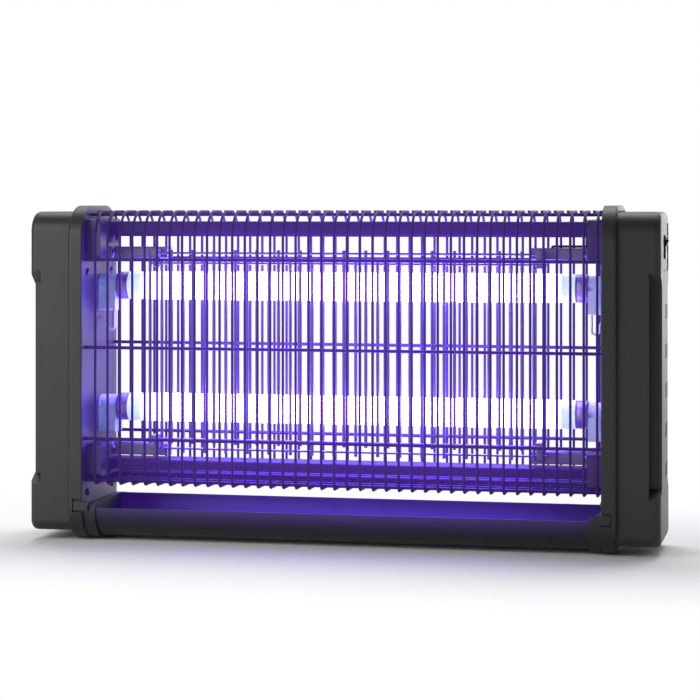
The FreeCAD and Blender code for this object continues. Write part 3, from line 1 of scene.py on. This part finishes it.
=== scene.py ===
import bmesh
import bpy
import math
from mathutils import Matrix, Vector


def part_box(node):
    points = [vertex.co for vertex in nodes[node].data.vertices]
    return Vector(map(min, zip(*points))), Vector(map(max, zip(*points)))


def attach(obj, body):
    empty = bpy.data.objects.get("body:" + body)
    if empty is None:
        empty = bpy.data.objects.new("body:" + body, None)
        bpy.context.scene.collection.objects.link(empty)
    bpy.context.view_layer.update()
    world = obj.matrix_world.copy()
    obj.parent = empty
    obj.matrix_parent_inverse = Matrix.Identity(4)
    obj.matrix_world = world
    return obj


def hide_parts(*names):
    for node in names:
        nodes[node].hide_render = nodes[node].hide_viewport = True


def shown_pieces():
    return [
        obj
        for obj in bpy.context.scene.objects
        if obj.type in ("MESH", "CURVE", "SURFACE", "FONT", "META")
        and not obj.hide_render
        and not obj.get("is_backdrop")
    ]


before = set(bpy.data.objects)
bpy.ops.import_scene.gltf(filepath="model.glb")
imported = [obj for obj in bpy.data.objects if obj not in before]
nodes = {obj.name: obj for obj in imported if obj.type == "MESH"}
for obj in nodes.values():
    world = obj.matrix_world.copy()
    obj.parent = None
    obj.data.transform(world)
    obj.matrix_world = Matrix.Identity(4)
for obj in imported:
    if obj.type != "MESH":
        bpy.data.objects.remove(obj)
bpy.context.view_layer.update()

# ---------------------------------------------------------------- camera
# A long lens at the height of the end frames' tops, 2 m in front and a little to the right,
# level, with the image shifted down so that upright edges stay upright.
lens = bpy.data.cameras.new("Camera")
camera = bpy.data.objects.new("Camera", lens)
bpy.context.scene.collection.objects.link(camera)
camera.location = (0.4385, -2.0566, 0.3055)
level, turned_left = math.radians(90), 0.210
camera.rotation_euler = (level, 0, turned_left)
lens.sensor_width = 36.0
lens.lens = 119.13
lens.shift_x = 0.0036
lens.shift_y = -0.2064
lens.clip_end = 50.0
bpy.context.scene.camera = camera
bpy.context.scene.view_settings.view_transform = "Standard"

# ---------------------------------------------------------------- studio
# White paper sweep under and behind the unit, and four soft boxes: a large one overhead and
# behind, which throws the soft shadow forwards, one at the left front for the left end, a weak
# one at the right front, and an upright one behind on the right for the right end's side.


def linear(code):
    """sRGB hex to the linear colour that the shaders take."""
    parts = [int(code[i:i + 2], 16) / 255 for i in (1, 3, 5)]
    return (*(p / 12.92 if p <= 0.04045 else ((p + 0.055) / 1.055) ** 2.4 for p in parts), 1.0)


def add(tree, kind, settings=None, **links):
    """Add a node. Settings go on its properties or sockets. Links feed its inputs, named with
    underscores for spaces or i0, i1 for their order, from a socket or a node's first output."""
    node = tree.nodes.new(kind)
    for key, value in (settings or {}).items():
        if isinstance(key, str) and hasattr(node, key):
            setattr(node, key, value)
        else:
            node.inputs[key].default_value = value
    for key, source in links.items():
        by_order = key[0] == "i" and key[1:].isdigit()
        socket = node.inputs[int(key[1:]) if by_order else key.replace("_", " ")]
        output = source.outputs[0] if isinstance(source, bpy.types.Node) else source
        tree.links.new(output, socket)
    return node


def new_material(name):
    """A material and its empty node tree."""
    material = bpy.data.materials.new(name)
    material.use_nodes = True
    material.node_tree.nodes.clear()
    return material, material.node_tree


# The camera sees plain white all round. Gloss meets a room that is dim in front and bright
# towards the sweep, and everything else gets a faint even fill.
world = bpy.data.worlds.new("Studio")
bpy.context.scene.world = world
world.use_nodes = True
sky = world.node_tree
sky.nodes.clear()
white = linear("#ffffff")
fill_level, room_in_front = 0.19, 0.05
path = add(sky, "ShaderNodeLightPath")
seen_through = add(sky, "ShaderNodeMath", {"operation": "MAXIMUM"},
                   i0=path.outputs["Is Camera Ray"], i1=path.outputs["Is Transmission Ray"])
toward = add(sky, "ShaderNodeTexCoord")
axes = add(sky, "ShaderNodeSeparateXYZ", Vector=toward.outputs["Generated"])
room = add(sky, "ShaderNodeMapRange",
           {"From Min": 0.0, "From Max": 0.9, "To Min": room_in_front, "To Max": 1.0},
           Value=axes.outputs["Y"])
soft_fill = add(sky, "ShaderNodeBackground", {"Color": white, "Strength": fill_level})
mirrored_room = add(sky, "ShaderNodeBackground", {"Color": white}, Strength=room)
white_sweep = add(sky, "ShaderNodeBackground", {"Color": white, "Strength": 1.0})
unseen = add(sky, "ShaderNodeMixShader", i0=path.outputs["Is Glossy Ray"], i1=soft_fill,
             i2=mirrored_room)
choice = add(sky, "ShaderNodeMixShader", i0=seen_through, i1=unseen, i2=white_sweep)
add(sky, "ShaderNodeOutputWorld", Surface=choice)

# Matt paper, a shade brighter where it is seen beside the unit, so that the unit's shadow
# stays on it, and blank white from 30 cm off.
half_length, half_depth = 0.285, 0.05
shadow_from, blank_from = 0.02, 0.30
paper, tree = new_material("white_paper")
path = add(tree, "ShaderNodeLightPath")
seen = add(tree, "ShaderNodeMath", {"operation": "MAXIMUM"},
           i0=path.outputs["Is Camera Ray"], i1=path.outputs["Is Glossy Ray"])
seen_through = add(tree, "ShaderNodeMath", {"operation": "MAXIMUM"}, i0=seen,
                   i1=path.outputs["Is Transmission Ray"])
spot = add(tree, "ShaderNodeNewGeometry")
axes = add(tree, "ShaderNodeSeparateXYZ", Vector=spot.outputs["Position"])
beside = []
for axis, half in (("X", half_length), ("Y", half_depth)):
    size = add(tree, "ShaderNodeMath", {"operation": "ABSOLUTE"}, i0=axes.outputs[axis])
    beyond = add(tree, "ShaderNodeMath", {"operation": "SUBTRACT", 1: half}, i0=size)
    beside.append(add(tree, "ShaderNodeMath", {"operation": "MAXIMUM", 1: 0.0}, i0=beyond))
flat = add(tree, "ShaderNodeCombineXYZ", i0=beside[0], i1=beside[1])
away = add(tree, "ShaderNodeVectorMath", {"operation": "LENGTH"}, i0=flat)
blank = add(tree, "ShaderNodeMapRange", {"interpolation_type": "SMOOTHSTEP",
                                         "From Min": shadow_from, "From Max": blank_from},
            Value=away.outputs["Value"])
matt = add(tree, "ShaderNodeBsdfDiffuse", {"Color": linear("#e6e6e6")})
bright = add(tree, "ShaderNodeBsdfDiffuse", {"Color": linear("#f4f4f4")})
plain = add(tree, "ShaderNodeEmission", {"Color": white, "Strength": 1.0})
shown = add(tree, "ShaderNodeMixShader", i0=blank, i1=bright, i2=plain)
choice = add(tree, "ShaderNodeMixShader", i0=seen_through, i1=matt, i2=shown)
add(tree, "ShaderNodeOutputMaterial", Surface=choice)
sheet = bpy.data.meshes.new("paper_sweep")
sheet.from_pydata([(-6, -5, 0), (6, -5, 0), (6, 4, 0), (-6, 4, 0)], [], [(0, 1, 2, 3)])
paper_sweep = bpy.data.objects.new("paper_sweep", sheet)
paper_sweep.data.materials.append(paper)
bpy.context.scene.collection.objects.link(paper_sweep)
paper_sweep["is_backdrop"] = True


def soft_box(name, place, aim, size, watts):
    """A rectangular soft box that faces a point."""
    light = bpy.data.lights.new(name, "AREA")
    light.shape = "RECTANGLE"
    light.size, light.size_y = size
    light.energy = watts
    box = bpy.data.objects.new(name, light)
    box.location = place
    box.rotation_euler = (Vector(aim) - Vector(place)).to_track_quat("-Z", "Y").to_euler()
    box.visible_camera = False
    bpy.context.scene.collection.objects.link(box)


soft_box("overhead_box", (0.0, 0.9, 2.1), aim=(0, -0.1, 0.1), size=(2.4, 1.4), watts=42)
soft_box("left_box", (-1.05, -1.2, 0.66), aim=(-0.27, 0, 0.15), size=(0.8, 1.2), watts=16.5)
soft_box("right_box", (2.0, -1.0, 1.0), aim=(0.2, 0, 0.15), size=(1.0, 1.4), watts=2)
soft_box("right_strip", (1.1, 2.4, 0.6), aim=(0.3, 0, 0.15), size=(0.9, 1.6), watts=20)

# ---------------------------------------------------------------- end frames and end caps
# Black ABS mouldings from a spark-eroded tool: the fine grain gives a satin surface that lightens
# where it is seen at a low angle. The caps push into the end frames and are screwed from within.


def dress(names, material):
    """Give CAD sub-parts a finish."""
    for name in names.split():
        node = nodes[name]
        if not node.material_slots:
            node.data.materials.append(None)
        for place in node.material_slots:
            place.link = "OBJECT"
            place.material = material


def grain_bump(tree, millimetres, strength):
    """Bump up to 0.1 mm deep, and its noise, with features that many millimetres across."""
    where = add(tree, "ShaderNodeTexCoord")
    noise = add(tree, "ShaderNodeTexNoise",
                {"Scale": 1000 / millimetres, "Detail": 4.0, "Roughness": 0.6},
                Vector=where.outputs["Object"])
    bump = add(tree, "ShaderNodeBump", {"Strength": strength, "Distance": 0.0001},
               Height=noise.outputs["Fac"])
    return bump, noise


# Colour of the painted glow that stands in for the tubes' light on the parts near them.
painted_glow_violet = "#8440ff"


def painted_violet_glow(tree, level, near=0.02, reach=0.12, beyond_reach=0.12):
    """Strength of the painted light: a glow that a surface emits round the lit tubes, in place of
    their light and its haze. It falls from full to a share beyond reach between two distances from
    each tube's axis, weakens from the bright middle of the tubes to the end frames' inner walls,
    and stops there."""
    bright_middle, inner_wall, share_at_wall = 0.12, 0.235, 0.45
    where = add(tree, "ShaderNodeTexCoord")
    axes = add(tree, "ShaderNodeSeparateXYZ", Vector=where.outputs["Object"])
    halos = []
    for lamp in ("upper_lamp_glass", "lower_lamp_glass"):
        low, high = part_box(lamp)
        centre = (low + high) / 2
        across = add(tree, "ShaderNodeMath", {"operation": "SUBTRACT", 1: centre.y},
                     i0=axes.outputs["Y"])
        above = add(tree, "ShaderNodeMath", {"operation": "SUBTRACT", 1: centre.z},
                    i0=axes.outputs["Z"])
        flat = add(tree, "ShaderNodeCombineXYZ", i0=across, i1=above)
        away = add(tree, "ShaderNodeVectorMath", {"operation": "LENGTH"}, i0=flat)
        halos.append(add(tree, "ShaderNodeMapRange",
                         {"interpolation_type": "SMOOTHSTEP", "From Min": near,
                          "From Max": reach, "To Min": 1.0, "To Max": beyond_reach},
                         Value=away.outputs["Value"]))
    total = add(tree, "ShaderNodeMath", {"operation": "ADD"}, i0=halos[0], i1=halos[1])
    outward = add(tree, "ShaderNodeMath", {"operation": "ABSOLUTE"}, i0=axes.outputs["X"])
    inside = add(tree, "ShaderNodeMapRange",
                 {"From Min": bright_middle, "From Max": inner_wall, "To Min": level,
                  "To Max": level * share_at_wall}, Value=outward)
    kept = add(tree, "ShaderNodeMath", {"operation": "LESS_THAN", 1: inner_wall + 0.0005},
               i0=outward)
    there = add(tree, "ShaderNodeMath", {"operation": "MULTIPLY"}, i0=inside, i1=kept)
    return add(tree, "ShaderNodeMath", {"operation": "MULTIPLY"}, i0=total, i1=there)


def moulded_plastic(name, colour, roughness, grain=1.2, strength=0.25, painted_glow=0.0, glow=painted_glow_violet):
    """Injection-moulded plastic with an eroded grain, a quarter lighter on its peaks, and a gloss
    that changes slightly over some 70 mm. The real grain of about 0.1 mm is too fine to show, so
    it is drawn a millimetre or more across."""
    uneven = 0.06
    peaks = (*(part * 1.25 for part in linear(colour)[:3]), 1)
    material, tree = new_material(name)
    bump, noise = grain_bump(tree, grain, strength)
    where = add(tree, "ShaderNodeTexCoord")
    cloud = add(tree, "ShaderNodeTexNoise", {"Scale": 14.0, "Detail": 2.0},
                Vector=where.outputs["Object"])
    gloss = add(tree, "ShaderNodeMapRange",
                {"To Min": roughness - uneven, "To Max": roughness + uneven},
                Value=cloud.outputs["Fac"])
    tone = add(tree, "ShaderNodeMix", {"data_type": "RGBA", 6: linear(colour), 7: peaks},
               i0=noise.outputs["Fac"])
    shell = add(tree, "ShaderNodeBsdfPrincipled", {"IOR": 1.53}, Normal=bump, Roughness=gloss,
                Base_Color=tone.outputs[2])
    # Painted light: a glow painted into the surface near the tubes, in place of their light on it.
    if painted_glow:
        shell.inputs["Emission Color"].default_value = linear(glow)
        tree.links.new(painted_violet_glow(tree, painted_glow).outputs[0], shell.inputs["Emission Strength"])
    add(tree, "ShaderNodeOutputMaterial", Surface=shell)
    return material


# The ABS has a violet glow painted into it near the tubes, in place of their light.
black_abs = moulded_plastic("black_moulded_abs", "#1b1b1c", 0.5, painted_glow=0.23)
dress("left_end_frame right_end_frame left_carriers right_carriers left_end_cap right_end_cap",
      black_abs)

# ---------------------------------------------------------------- hanging inserts
# Turned brass bushes with an M5 thread, knurled outside and pressed into the tops of the end
# frames. The countersunk mouth and the thread's ridges catch the light from overhead.


def solids_of(name):
    """Lowest and highest corner of each separate solid in a CAD node."""
    mesh = bmesh.new()
    mesh.from_mesh(nodes[name].data)
    bmesh.ops.remove_doubles(mesh, verts=mesh.verts, dist=1e-6)
    left, boxes = set(mesh.verts), []
    while left:
        group, queue = [], [left.pop()]
        while queue:
            vertex = queue.pop()
            group.append(vertex.co.copy())
            for edge in vertex.link_edges:
                other = edge.other_vert(vertex)
                if other in left:
                    left.remove(other)
                    queue.append(other)
        boxes.append([Vector([pick(c[i] for c in group) for i in range(3)])
                      for pick in (min, max)])
    mesh.free()
    return sorted(boxes, key=lambda box: tuple(box[0]))


def turn(mesh, profile, place, axis, segments=32, start=0.0):
    """Revolve a profile about an axis through a place. Its points are (distance along the axis,
    radius) in millimetres, and a radius may be a function of the angle."""
    along = Vector(axis).normalized()
    side = along.orthogonal().normalized()
    up = along.cross(side)
    rings = []
    for distance, radius in profile:
        middle = Vector(place) + along * distance / 1000
        if radius == 0:
            rings.append([mesh.verts.new(middle)])
            continue
        ring = []
        for k in range(segments):
            angle = 2 * math.pi * k / segments
            reach = radius(angle) if callable(radius) else radius
            spoke = side * math.cos(angle + start) + up * math.sin(angle + start)
            ring.append(mesh.verts.new(middle + spoke * reach / 1000))
        rings.append(ring)
    for first, second in zip(rings, rings[1:]):
        for k in range(segments):
            n = (k + 1) % segments
            corners = [first[k % len(first)], first[n % len(first)],
                       second[n % len(second)], second[k % len(second)]]
            mesh.faces.new([v for i, v in enumerate(corners) if v not in corners[:i]])


def finish_piece(name, mesh, material, body, slot, *instead, sharp=35):
    """Make the mesh a piece that rides on a body, and hide the CAD nodes that it stands for. The
    slot is not used. Edges above the sharp angle stay crisp."""
    bmesh.ops.remove_doubles(mesh, verts=mesh.verts, dist=1e-7)
    bmesh.ops.recalc_face_normals(mesh, faces=mesh.faces)
    data = bpy.data.meshes.new(name)
    mesh.to_mesh(data)
    mesh.free()
    data.materials.append(material)
    data.shade_smooth()
    data.set_sharp_from_angle(angle=math.radians(sharp))
    piece = bpy.data.objects.new(name, data)
    bpy.context.scene.collection.objects.link(piece)
    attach(piece, body)
    if instead:
        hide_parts(*instead)


def bright_metal(name, colour, roughness, grain, painted_glow=0.0):
    """Bare or plated metal with a drawn, rolled or turned texture, which is drawn a millimetre or
    more across, because the real one is too fine to show."""
    uneven = 0.08
    material, tree = new_material(name)
    bump, noise = grain_bump(tree, grain, 0.15)
    gloss = add(tree, "ShaderNodeMapRange",
                {"To Min": roughness - uneven, "To Max": roughness + uneven},
                Value=noise.outputs["Fac"])
    metal = add(tree, "ShaderNodeBsdfPrincipled", {"Base Color": linear(colour), "Metallic": 1.0},
                Normal=bump, Roughness=gloss)
    # Painted light: a violet glow painted into the metal near the tubes, in place of their light
    # on it.
    if painted_glow:
        metal.inputs["Emission Color"].default_value = linear(painted_glow_violet)
        tree.links.new(painted_violet_glow(tree, painted_glow).outputs[0], metal.inputs["Emission Strength"])
    add(tree, "ShaderNodeOutputMaterial", Surface=metal)
    return material


brass = bright_metal("turned_brass", "#c9a45c", 0.3, grain=1.0)
root, crest, half_pitch = 2.42, 2.1, 0.4
thread = [(0.5 + half_pitch * k, crest if k % 2 else root) for k in range(22)]


def knurled(angle):
    """Radius of the 24 pressed ridges of an insert, in millimetres."""
    return 3.1 - 0.16 * (round(angle * 24 / math.pi) % 2)


barrel = [(0.0, root), (0.0, 2.7), (0.4, 2.85), (0.8, knurled), (8.6, knurled), (9.0, 2.9)]
mouth = [(9.8, 2.9), (10.0, 2.75), (10.0, 2.7), (9.5, 2.2)]
mesh = bmesh.new()
for low, high in solids_of("hanging_inserts"):
    turn(mesh, barrel + mouth + thread[::-1] + [(0.0, root)],
         (*((low + high) / 2).xy, low.z), (0, 0, 1), segments=48)
finish_piece("threaded_bushes", mesh, brass, "housing", "insert_brass", "hanging_inserts")

# ---------------------------------------------------------------- guards
# Two cages of 2.4 mm steel wire on 3 mm rods, spot-welded where they cross and powder-coated
# black: a satin film with a faint orange peel, pooled over the weld at each crossing.
# A violet glow is painted into the coat near the tubes, in place of their light on the wires.
powder_coat, tree = new_material("black_powder_coat")
bump, noise = grain_bump(tree, 1.5, 0.12)
film = add(tree, "ShaderNodeBsdfPrincipled",
           {"Base Color": linear("#0b0b0d"), "Roughness": 0.55, "IOR": 1.5,
            "Specular IOR Level": 0.25, "Emission Color": linear(painted_glow_violet)},
           Normal=bump, Emission_Strength=painted_violet_glow(tree, 0.26))
add(tree, "ShaderNodeOutputMaterial", Surface=film)
dress("front_guard rear_guard", powder_coat)
# Profile of the film pooled over a weld, as turn() takes it, and the length that tells a rod.
pool = [(-0.9, 0), (-0.9, 0.9), (-0.4, 1.4), (0.0, 1.55), (0.4, 1.4), (0.9, 0.9), (0.9, 0)]
rod_length = 0.1
for name in ("front_guard", "rear_guard"):
    mesh = bmesh.new()
    rods = [box for box in solids_of(name) if box[1].x - box[0].x > rod_length]
    wires = [box for box in solids_of(name) if box not in rods]
    for rod_low, rod_high in rods:
        rod = (rod_low + rod_high) / 2
        radius = (rod_high.z - rod_low.z) / 2
        for low, high in wires:
            # The wire lies over the rod at its top, under it at its foot and outside it between.
            if high.z - rod.z < 3 * radius:
                facing = Vector((0, 0, 1))
            elif rod.z - low.z < 3 * radius:
                facing = Vector((0, 0, -1))
            else:
                facing = Vector((0, math.copysign(1, rod.y), 0))
            place = Vector(((low.x + high.x) / 2, rod.y, rod.z)) + facing * radius
            turn(mesh, pool, place, facing, segments=10)
    finish_piece(name + "_welds", mesh, powder_coat, "housing", "guard_black", sharp=80)

# ---------------------------------------------------------------- tie bars
# Steel sheet folded into channels and screwed between the end frames, above and below the tubes.
# They wear the same satin black powder coat as the guards, with its painted violet glow.
dress("top_tie_bar bottom_tie_bar", powder_coat)

# ---------------------------------------------------------------- grid combs
# Two combs of drawn steel wire, one live and one return, held by the insulator arms. The wire
# has a soft grey gleam, and a violet glow is painted into it near the tubes in place of their
# light.
drawn_wire = bright_metal("drawn_steel_wire", "#62636a", 0.45, grain=1.5, painted_glow=0.2)
dress("live_grid return_grid", drawn_wire)

# ---------------------------------------------------------------- screws and rivets
# Steel screws with cross-recessed pan heads in dark passivated zinc, which gives a dull grey
# gleam. Those of the caps, tie bars and insulators are driven from between the end frames, the
# others from under the caps. The tray's rivets have the same finish.
# A violet glow is painted into the zinc near the tubes, in place of their light.
passivated = bright_metal("passivated_zinc", "#5a5c62", 0.45, grain=1.0, painted_glow=0.12)


def crossed_slots(angle):
    """How far the recess for a cross-point driver reaches in a direction, in millimetres."""
    arm, half_width = 1.55, 0.45
    c, s = max(abs(math.cos(angle)), 1e-6), max(abs(math.sin(angle)), 1e-6)
    return max(min(arm / c, half_width / s), min(arm / s, half_width / c))


def slots_floor(angle):
    """The same recess at its floor, which is narrower."""
    return 0.6 * crossed_slots(angle)


head_height = 2.2
pan_head = [(0.0, 1.6), (0.0, 3.1), (0.3, 3.2), (1.0, 3.15), (1.6, 2.85), (2.0, 2.3),
            (head_height, 1.8), (head_height, crossed_slots), (1.2, slots_floor), (1.0, 0)]


def pan_screws(name, node, facing_out):
    """Screws along X in place of a CAD node's, with their heads outwards or towards the middle."""
    root, crest, half_pitch = 1.3, 1.6, 0.6
    mesh = bmesh.new()
    for n, (low, high) in enumerate(solids_of(node)):
        middle = (low + high) / 2
        facing = math.copysign(1, middle.x) * (1 if facing_out else -1)
        top = high.x if facing > 0 else low.x
        length = (high.x - low.x) * 1000 - head_height
        point = [(-length, 0), (-length + 0.4, 0.9)]
        thread = [(-length + 1.0 + half_pitch * k, crest if k % 2 else root)
                  for k in range(int((length - 1.2) / half_pitch))]
        recess_turned = 0.5 + 1.7 * n
        turn(mesh, point + thread + pan_head, (top - facing * head_height / 1000, *middle.yz),
             (facing, 0, 0), start=recess_turned)
    finish_piece(name, mesh, passivated, "housing", "zinc", node)


pan_screws("cap_screws_left", "left_cap_screws", facing_out=False)
pan_screws("cap_screws_right", "right_cap_screws", facing_out=False)
pan_screws("bar_screws", "tie_bar_screws", facing_out=False)
pan_screws("arm_screws", "insulator_screws", facing_out=False)
pan_screws("lamp_holder_screws", "holder_screws", facing_out=True)
pan_screws("choke_screws", "ballast_screws", facing_out=True)
pan_screws("step_up_screws", "transformer_screws", facing_out=True)
dress("tray_rivets", passivated)

# ---------------------------------------------------------------- insulators and lamp holders
# Arms of grey glass-filled polyester, matt from the fibres, screwed to the end frames, and lamp
# holders of smooth white polycarbonate. A glow is painted into both beside the tubes in place of
# their light: violet on the arms, and bluish on the holders for the light they would let through.
polyester = moulded_plastic("glass_filled_polyester", "#66626b", 0.55, painted_glow=0.16)
polycarbonate = moulded_plastic("white_polycarbonate", "#c8cde0", 0.35, painted_glow=0.3, glow="#7c92ff")
dress("upper_left_insulator upper_right_insulator lower_left_insulator lower_right_insulator",
      polyester)
dress("upper_left_holder upper_right_holder lower_left_holder lower_right_holder", polycarbonate)
dress("upper_lamp_rotors lower_lamp_rotors starter_sockets terminal_block", polycarbonate)

# ---------------------------------------------------------------- lamps
# Lit ultraviolet tubes: phosphor behind glass, so bright that only the violet they shed tells the
# colour, and pale blue over the last centimetres, where the electrodes sit and the phosphor glows
# least. Their drawn aluminium end cups have a crimped rim, and the pins are brass.
fades_from, faded_at, faded_to, full_glow = 0.155, 0.196, 0.003, 150.0
lit_tube, tree = new_material("lit_phosphor_tube")
where = add(tree, "ShaderNodeTexCoord")
axes = add(tree, "ShaderNodeSeparateXYZ", Vector=where.outputs["Object"])
from_middle = add(tree, "ShaderNodeMath", {"operation": "ABSOLUTE"}, i0=axes.outputs["X"])
fade = add(tree, "ShaderNodeMapRange", {"From Min": fades_from, "From Max": faded_at,
                                        "To Min": 1.0, "To Max": faded_to}, Value=from_middle)
power = add(tree, "ShaderNodeMath", {"operation": "MULTIPLY", 1: full_glow}, i0=fade)
phosphor = add(tree, "ShaderNodeEmission", {"Color": linear("#6448ff")}, Strength=power)
glass = add(tree, "ShaderNodeBsdfPrincipled",
            {"Base Color": linear("#d4e2f4"), "Roughness": 0.08,
             "Emission Color": linear("#b4d6ff"), "Emission Strength": 0.7})
tube = add(tree, "ShaderNodeAddShader", i0=phosphor, i1=glass)
add(tree, "ShaderNodeOutputMaterial", Surface=tube)
dress("upper_lamp_glass lower_lamp_glass", lit_tube)
# Drawn aluminium has a soft sheen, and a violet glow is painted into it beside the glass.
aluminium = bright_metal("drawn_aluminium", "#85858f", 0.5, grain=2.0, painted_glow=0.35)
for body in ("upper_lamp", "lower_lamp"):
    mesh = bmesh.new()
    for low, high in solids_of(body + "_caps"):
        middle = (low + high) / 2
        outward = math.copysign(1, middle.x)
        start = low.x if outward > 0 else high.x
        length, radius = (high.x - low.x) * 1000, (high.z - low.z) * 500
        rim = [(0.05, 0), (0.05, radius - 0.5), (0.2, radius - 0.1), (0.9, radius)]
        crimp = [(1.4, radius - 0.4), (2.2, radius - 0.4), (2.7, radius)]
        shoulder = [(length - 1.6, radius), (length - 0.7, radius - 0.3),
                    (length - 0.15, radius - 1.0), (length, radius - 1.8)]
        dished_end = [(length, 8.2), (length - 0.3, 7.9), (length - 0.3, 0)]
        turn(mesh, rim + crimp + shoulder + dished_end, (start, middle.y, middle.z),
             (outward, 0, 0), segments=64)
    finish_piece(body + "_end_cups", mesh, aluminium, body, "lamp_cap", body + "_caps", sharp=50)
dress("upper_lamp_pins lower_lamp_pins", brass)
# The tubes and the violet glow painted into the parts shine on the unit, and reach the paper
# only by way of its surfaces.
lit_by_tubes = bpy.data.collections.new("lit_by_tubes")
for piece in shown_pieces():
    lit_by_tubes.objects.link(piece)
    piece.light_linking.receiver_collection = lit_by_tubes

# ---------------------------------------------------------------- tray
# Folded steel pan riveted to two moulded black ABS ends that hook into the end frames. Its black
# stove enamel has flowed out smoother and glossier than the grain of the ends.
# A violet glow is painted into the enamel close to the tubes, in place of their light.
enamel, tree = new_material("black_stove_enamel")
bump, noise = grain_bump(tree, 4.0, 0.06)
skin = add(tree, "ShaderNodeBsdfPrincipled",
           {"Base Color": linear("#1e1e1f"), "Roughness": 0.42, "IOR": 1.45,
            "Emission Color": linear(painted_glow_violet)}, Normal=bump,
           Emission_Strength=painted_violet_glow(tree, 0.13, near=0.1, reach=0.118, beyond_reach=0.0))
add(tree, "ShaderNodeOutputMaterial", Surface=skin)
dress("tray_pan", enamel)
dress("tray_left_end tray_right_end", moulded_plastic("black_tray_abs", "#1c1c1d", 0.5))

# ---------------------------------------------------------------- switch
# Rocker switch in polished black polycarbonate, sharp in its reflections, snapped into the right
# cap. A bar and a ring are pad-printed in flat white ink on its two faces for on and off.
polished = moulded_plastic("polished_black_polycarbonate", "#141415", 0.15, grain=3.0,
                           strength=0.05)
dress("switch_body switch_rocker", polished)
white_ink = moulded_plastic("white_pad_ink", "#d4d4d2", 0.5)
mesh = bmesh.new()
low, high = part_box("switch_rocker")
middle_y = (low.y + high.y) / 2
# Its two outer faces run from the foot up to the dip, and from the dip up to the head.
face_depth = 0.004
outer = [v.co for v in nodes["switch_rocker"].data.vertices if v.co.x > high.x - face_depth]
foot, head = (pick(outer, key=lambda co: co.z).xz for pick in (min, max))
dip = min(outer, key=lambda co: co.x).xz
steps = 32
angles = [2 * math.pi * k / steps for k in range(steps)]
ring_radii, bar_radius, bar_reach = (1.75, 1.25), 0.28, 1.5
sunk, proud = -0.02, 0.04
ring = [[(r * math.cos(a), r * math.sin(a)) for a in angles] for r in ring_radii]
bar = [[(bar_radius * math.cos(a), bar_radius * math.sin(a)
         + math.copysign(bar_reach, math.sin(a))) for a in angles]]
for end, outlines in ((foot, bar), (head, ring)):
    up = (end - dip).normalized()
    up *= math.copysign(1, up.y)
    centre = Vector(((end.x + dip.x) / 2, middle_y, (end.y + dip.y) / 2))
    v = Vector((up.x, 0, up.y))
    u = Vector((0, 1, 0))
    normal = u.cross(v)
    loops = [[mesh.verts.new(centre + (u * a + v * b + normal * rise) / 1000) for a, b in outline]
             for outline in outlines for rise in (sunk, proud)]
    walls = ((0, 1), (1, 3), (3, 2), (2, 0)) if outlines is ring else ((0, 1),)
    for k in range(steps):
        n = (k + 1) % steps
        for one, two in walls:
            mesh.faces.new((loops[one][k], loops[one][n], loops[two][n], loops[two][k]))
    if outlines is bar:
        mesh.faces.new(loops[0])
        mesh.faces.new(loops[1])
finish_piece("rocker_marks", mesh, white_ink, "rocker", "switch_black")

# ---------------------------------------------------------------- feet and lead entry
# Dull black rubber pads with a ribbed sole, glued into recesses under the end frames, and the
# black nylon bush through which the supply lead would enter, as smooth as the switch.
rubber = moulded_plastic("black_rubber", "#202021", 0.8)
ribs, groove, rounded = 5, 0.0005, 0.00015
mesh = bmesh.new()
for low, high in solids_of("foot_pads"):
    rib = (high.y - low.y) / (2 * ribs - 1)
    outline = [(high.y, high.z), (low.y, high.z)]
    for n in range(ribs):
        edge = low.y + 2 * n * rib
        outline += [(edge, low.z), (edge + rib, low.z)]
        if n < ribs - 1:
            outline += [(edge + rib, low.z + groove), (edge + 2 * rib, low.z + groove)]
    ends = [[mesh.verts.new((x, y, z)) for y, z in outline] for x in (low.x, high.x)]
    for k in range(len(outline)):
        n = (k + 1) % len(outline)
        mesh.faces.new((ends[0][k], ends[0][n], ends[1][n], ends[1][k]))
    for end in ends:
        mesh.faces.new(end)
bmesh.ops.recalc_face_normals(mesh, faces=mesh.faces)
bmesh.ops.bevel(mesh, geom=mesh.edges[:], offset=rounded, segments=2, affect="EDGES",
                profile=0.5, clamp_overlap=True)
finish_piece("ribbed_feet", mesh, rubber, "housing", "pad_rubber", "foot_pads")
dress("lead_bush", polished)

# ---------------------------------------------------------------- electrical parts and wiring
# On the end frames' outer walls, under the caps: ballasts and a transformer in satin grey
# lacquer, white starters in their sockets, a board in satin green solder resist, and leads in
# smooth white or dull black sleeving.
dress("upper_ballast lower_ballast voltage_transformer",
      moulded_plastic("grey_core_lacquer", "#7d8085", 0.4))
dress("starters", polycarbonate)
dress("multiplier_board", moulded_plastic("green_board", "#1f4a2a", 0.4))
dress("cross_harness holder_leads", moulded_plastic("white_sleeving", "#d8d8d4", 0.5))
dress("grid_leads", moulded_plastic("black_silicone", "#1b1b1e", 0.55))
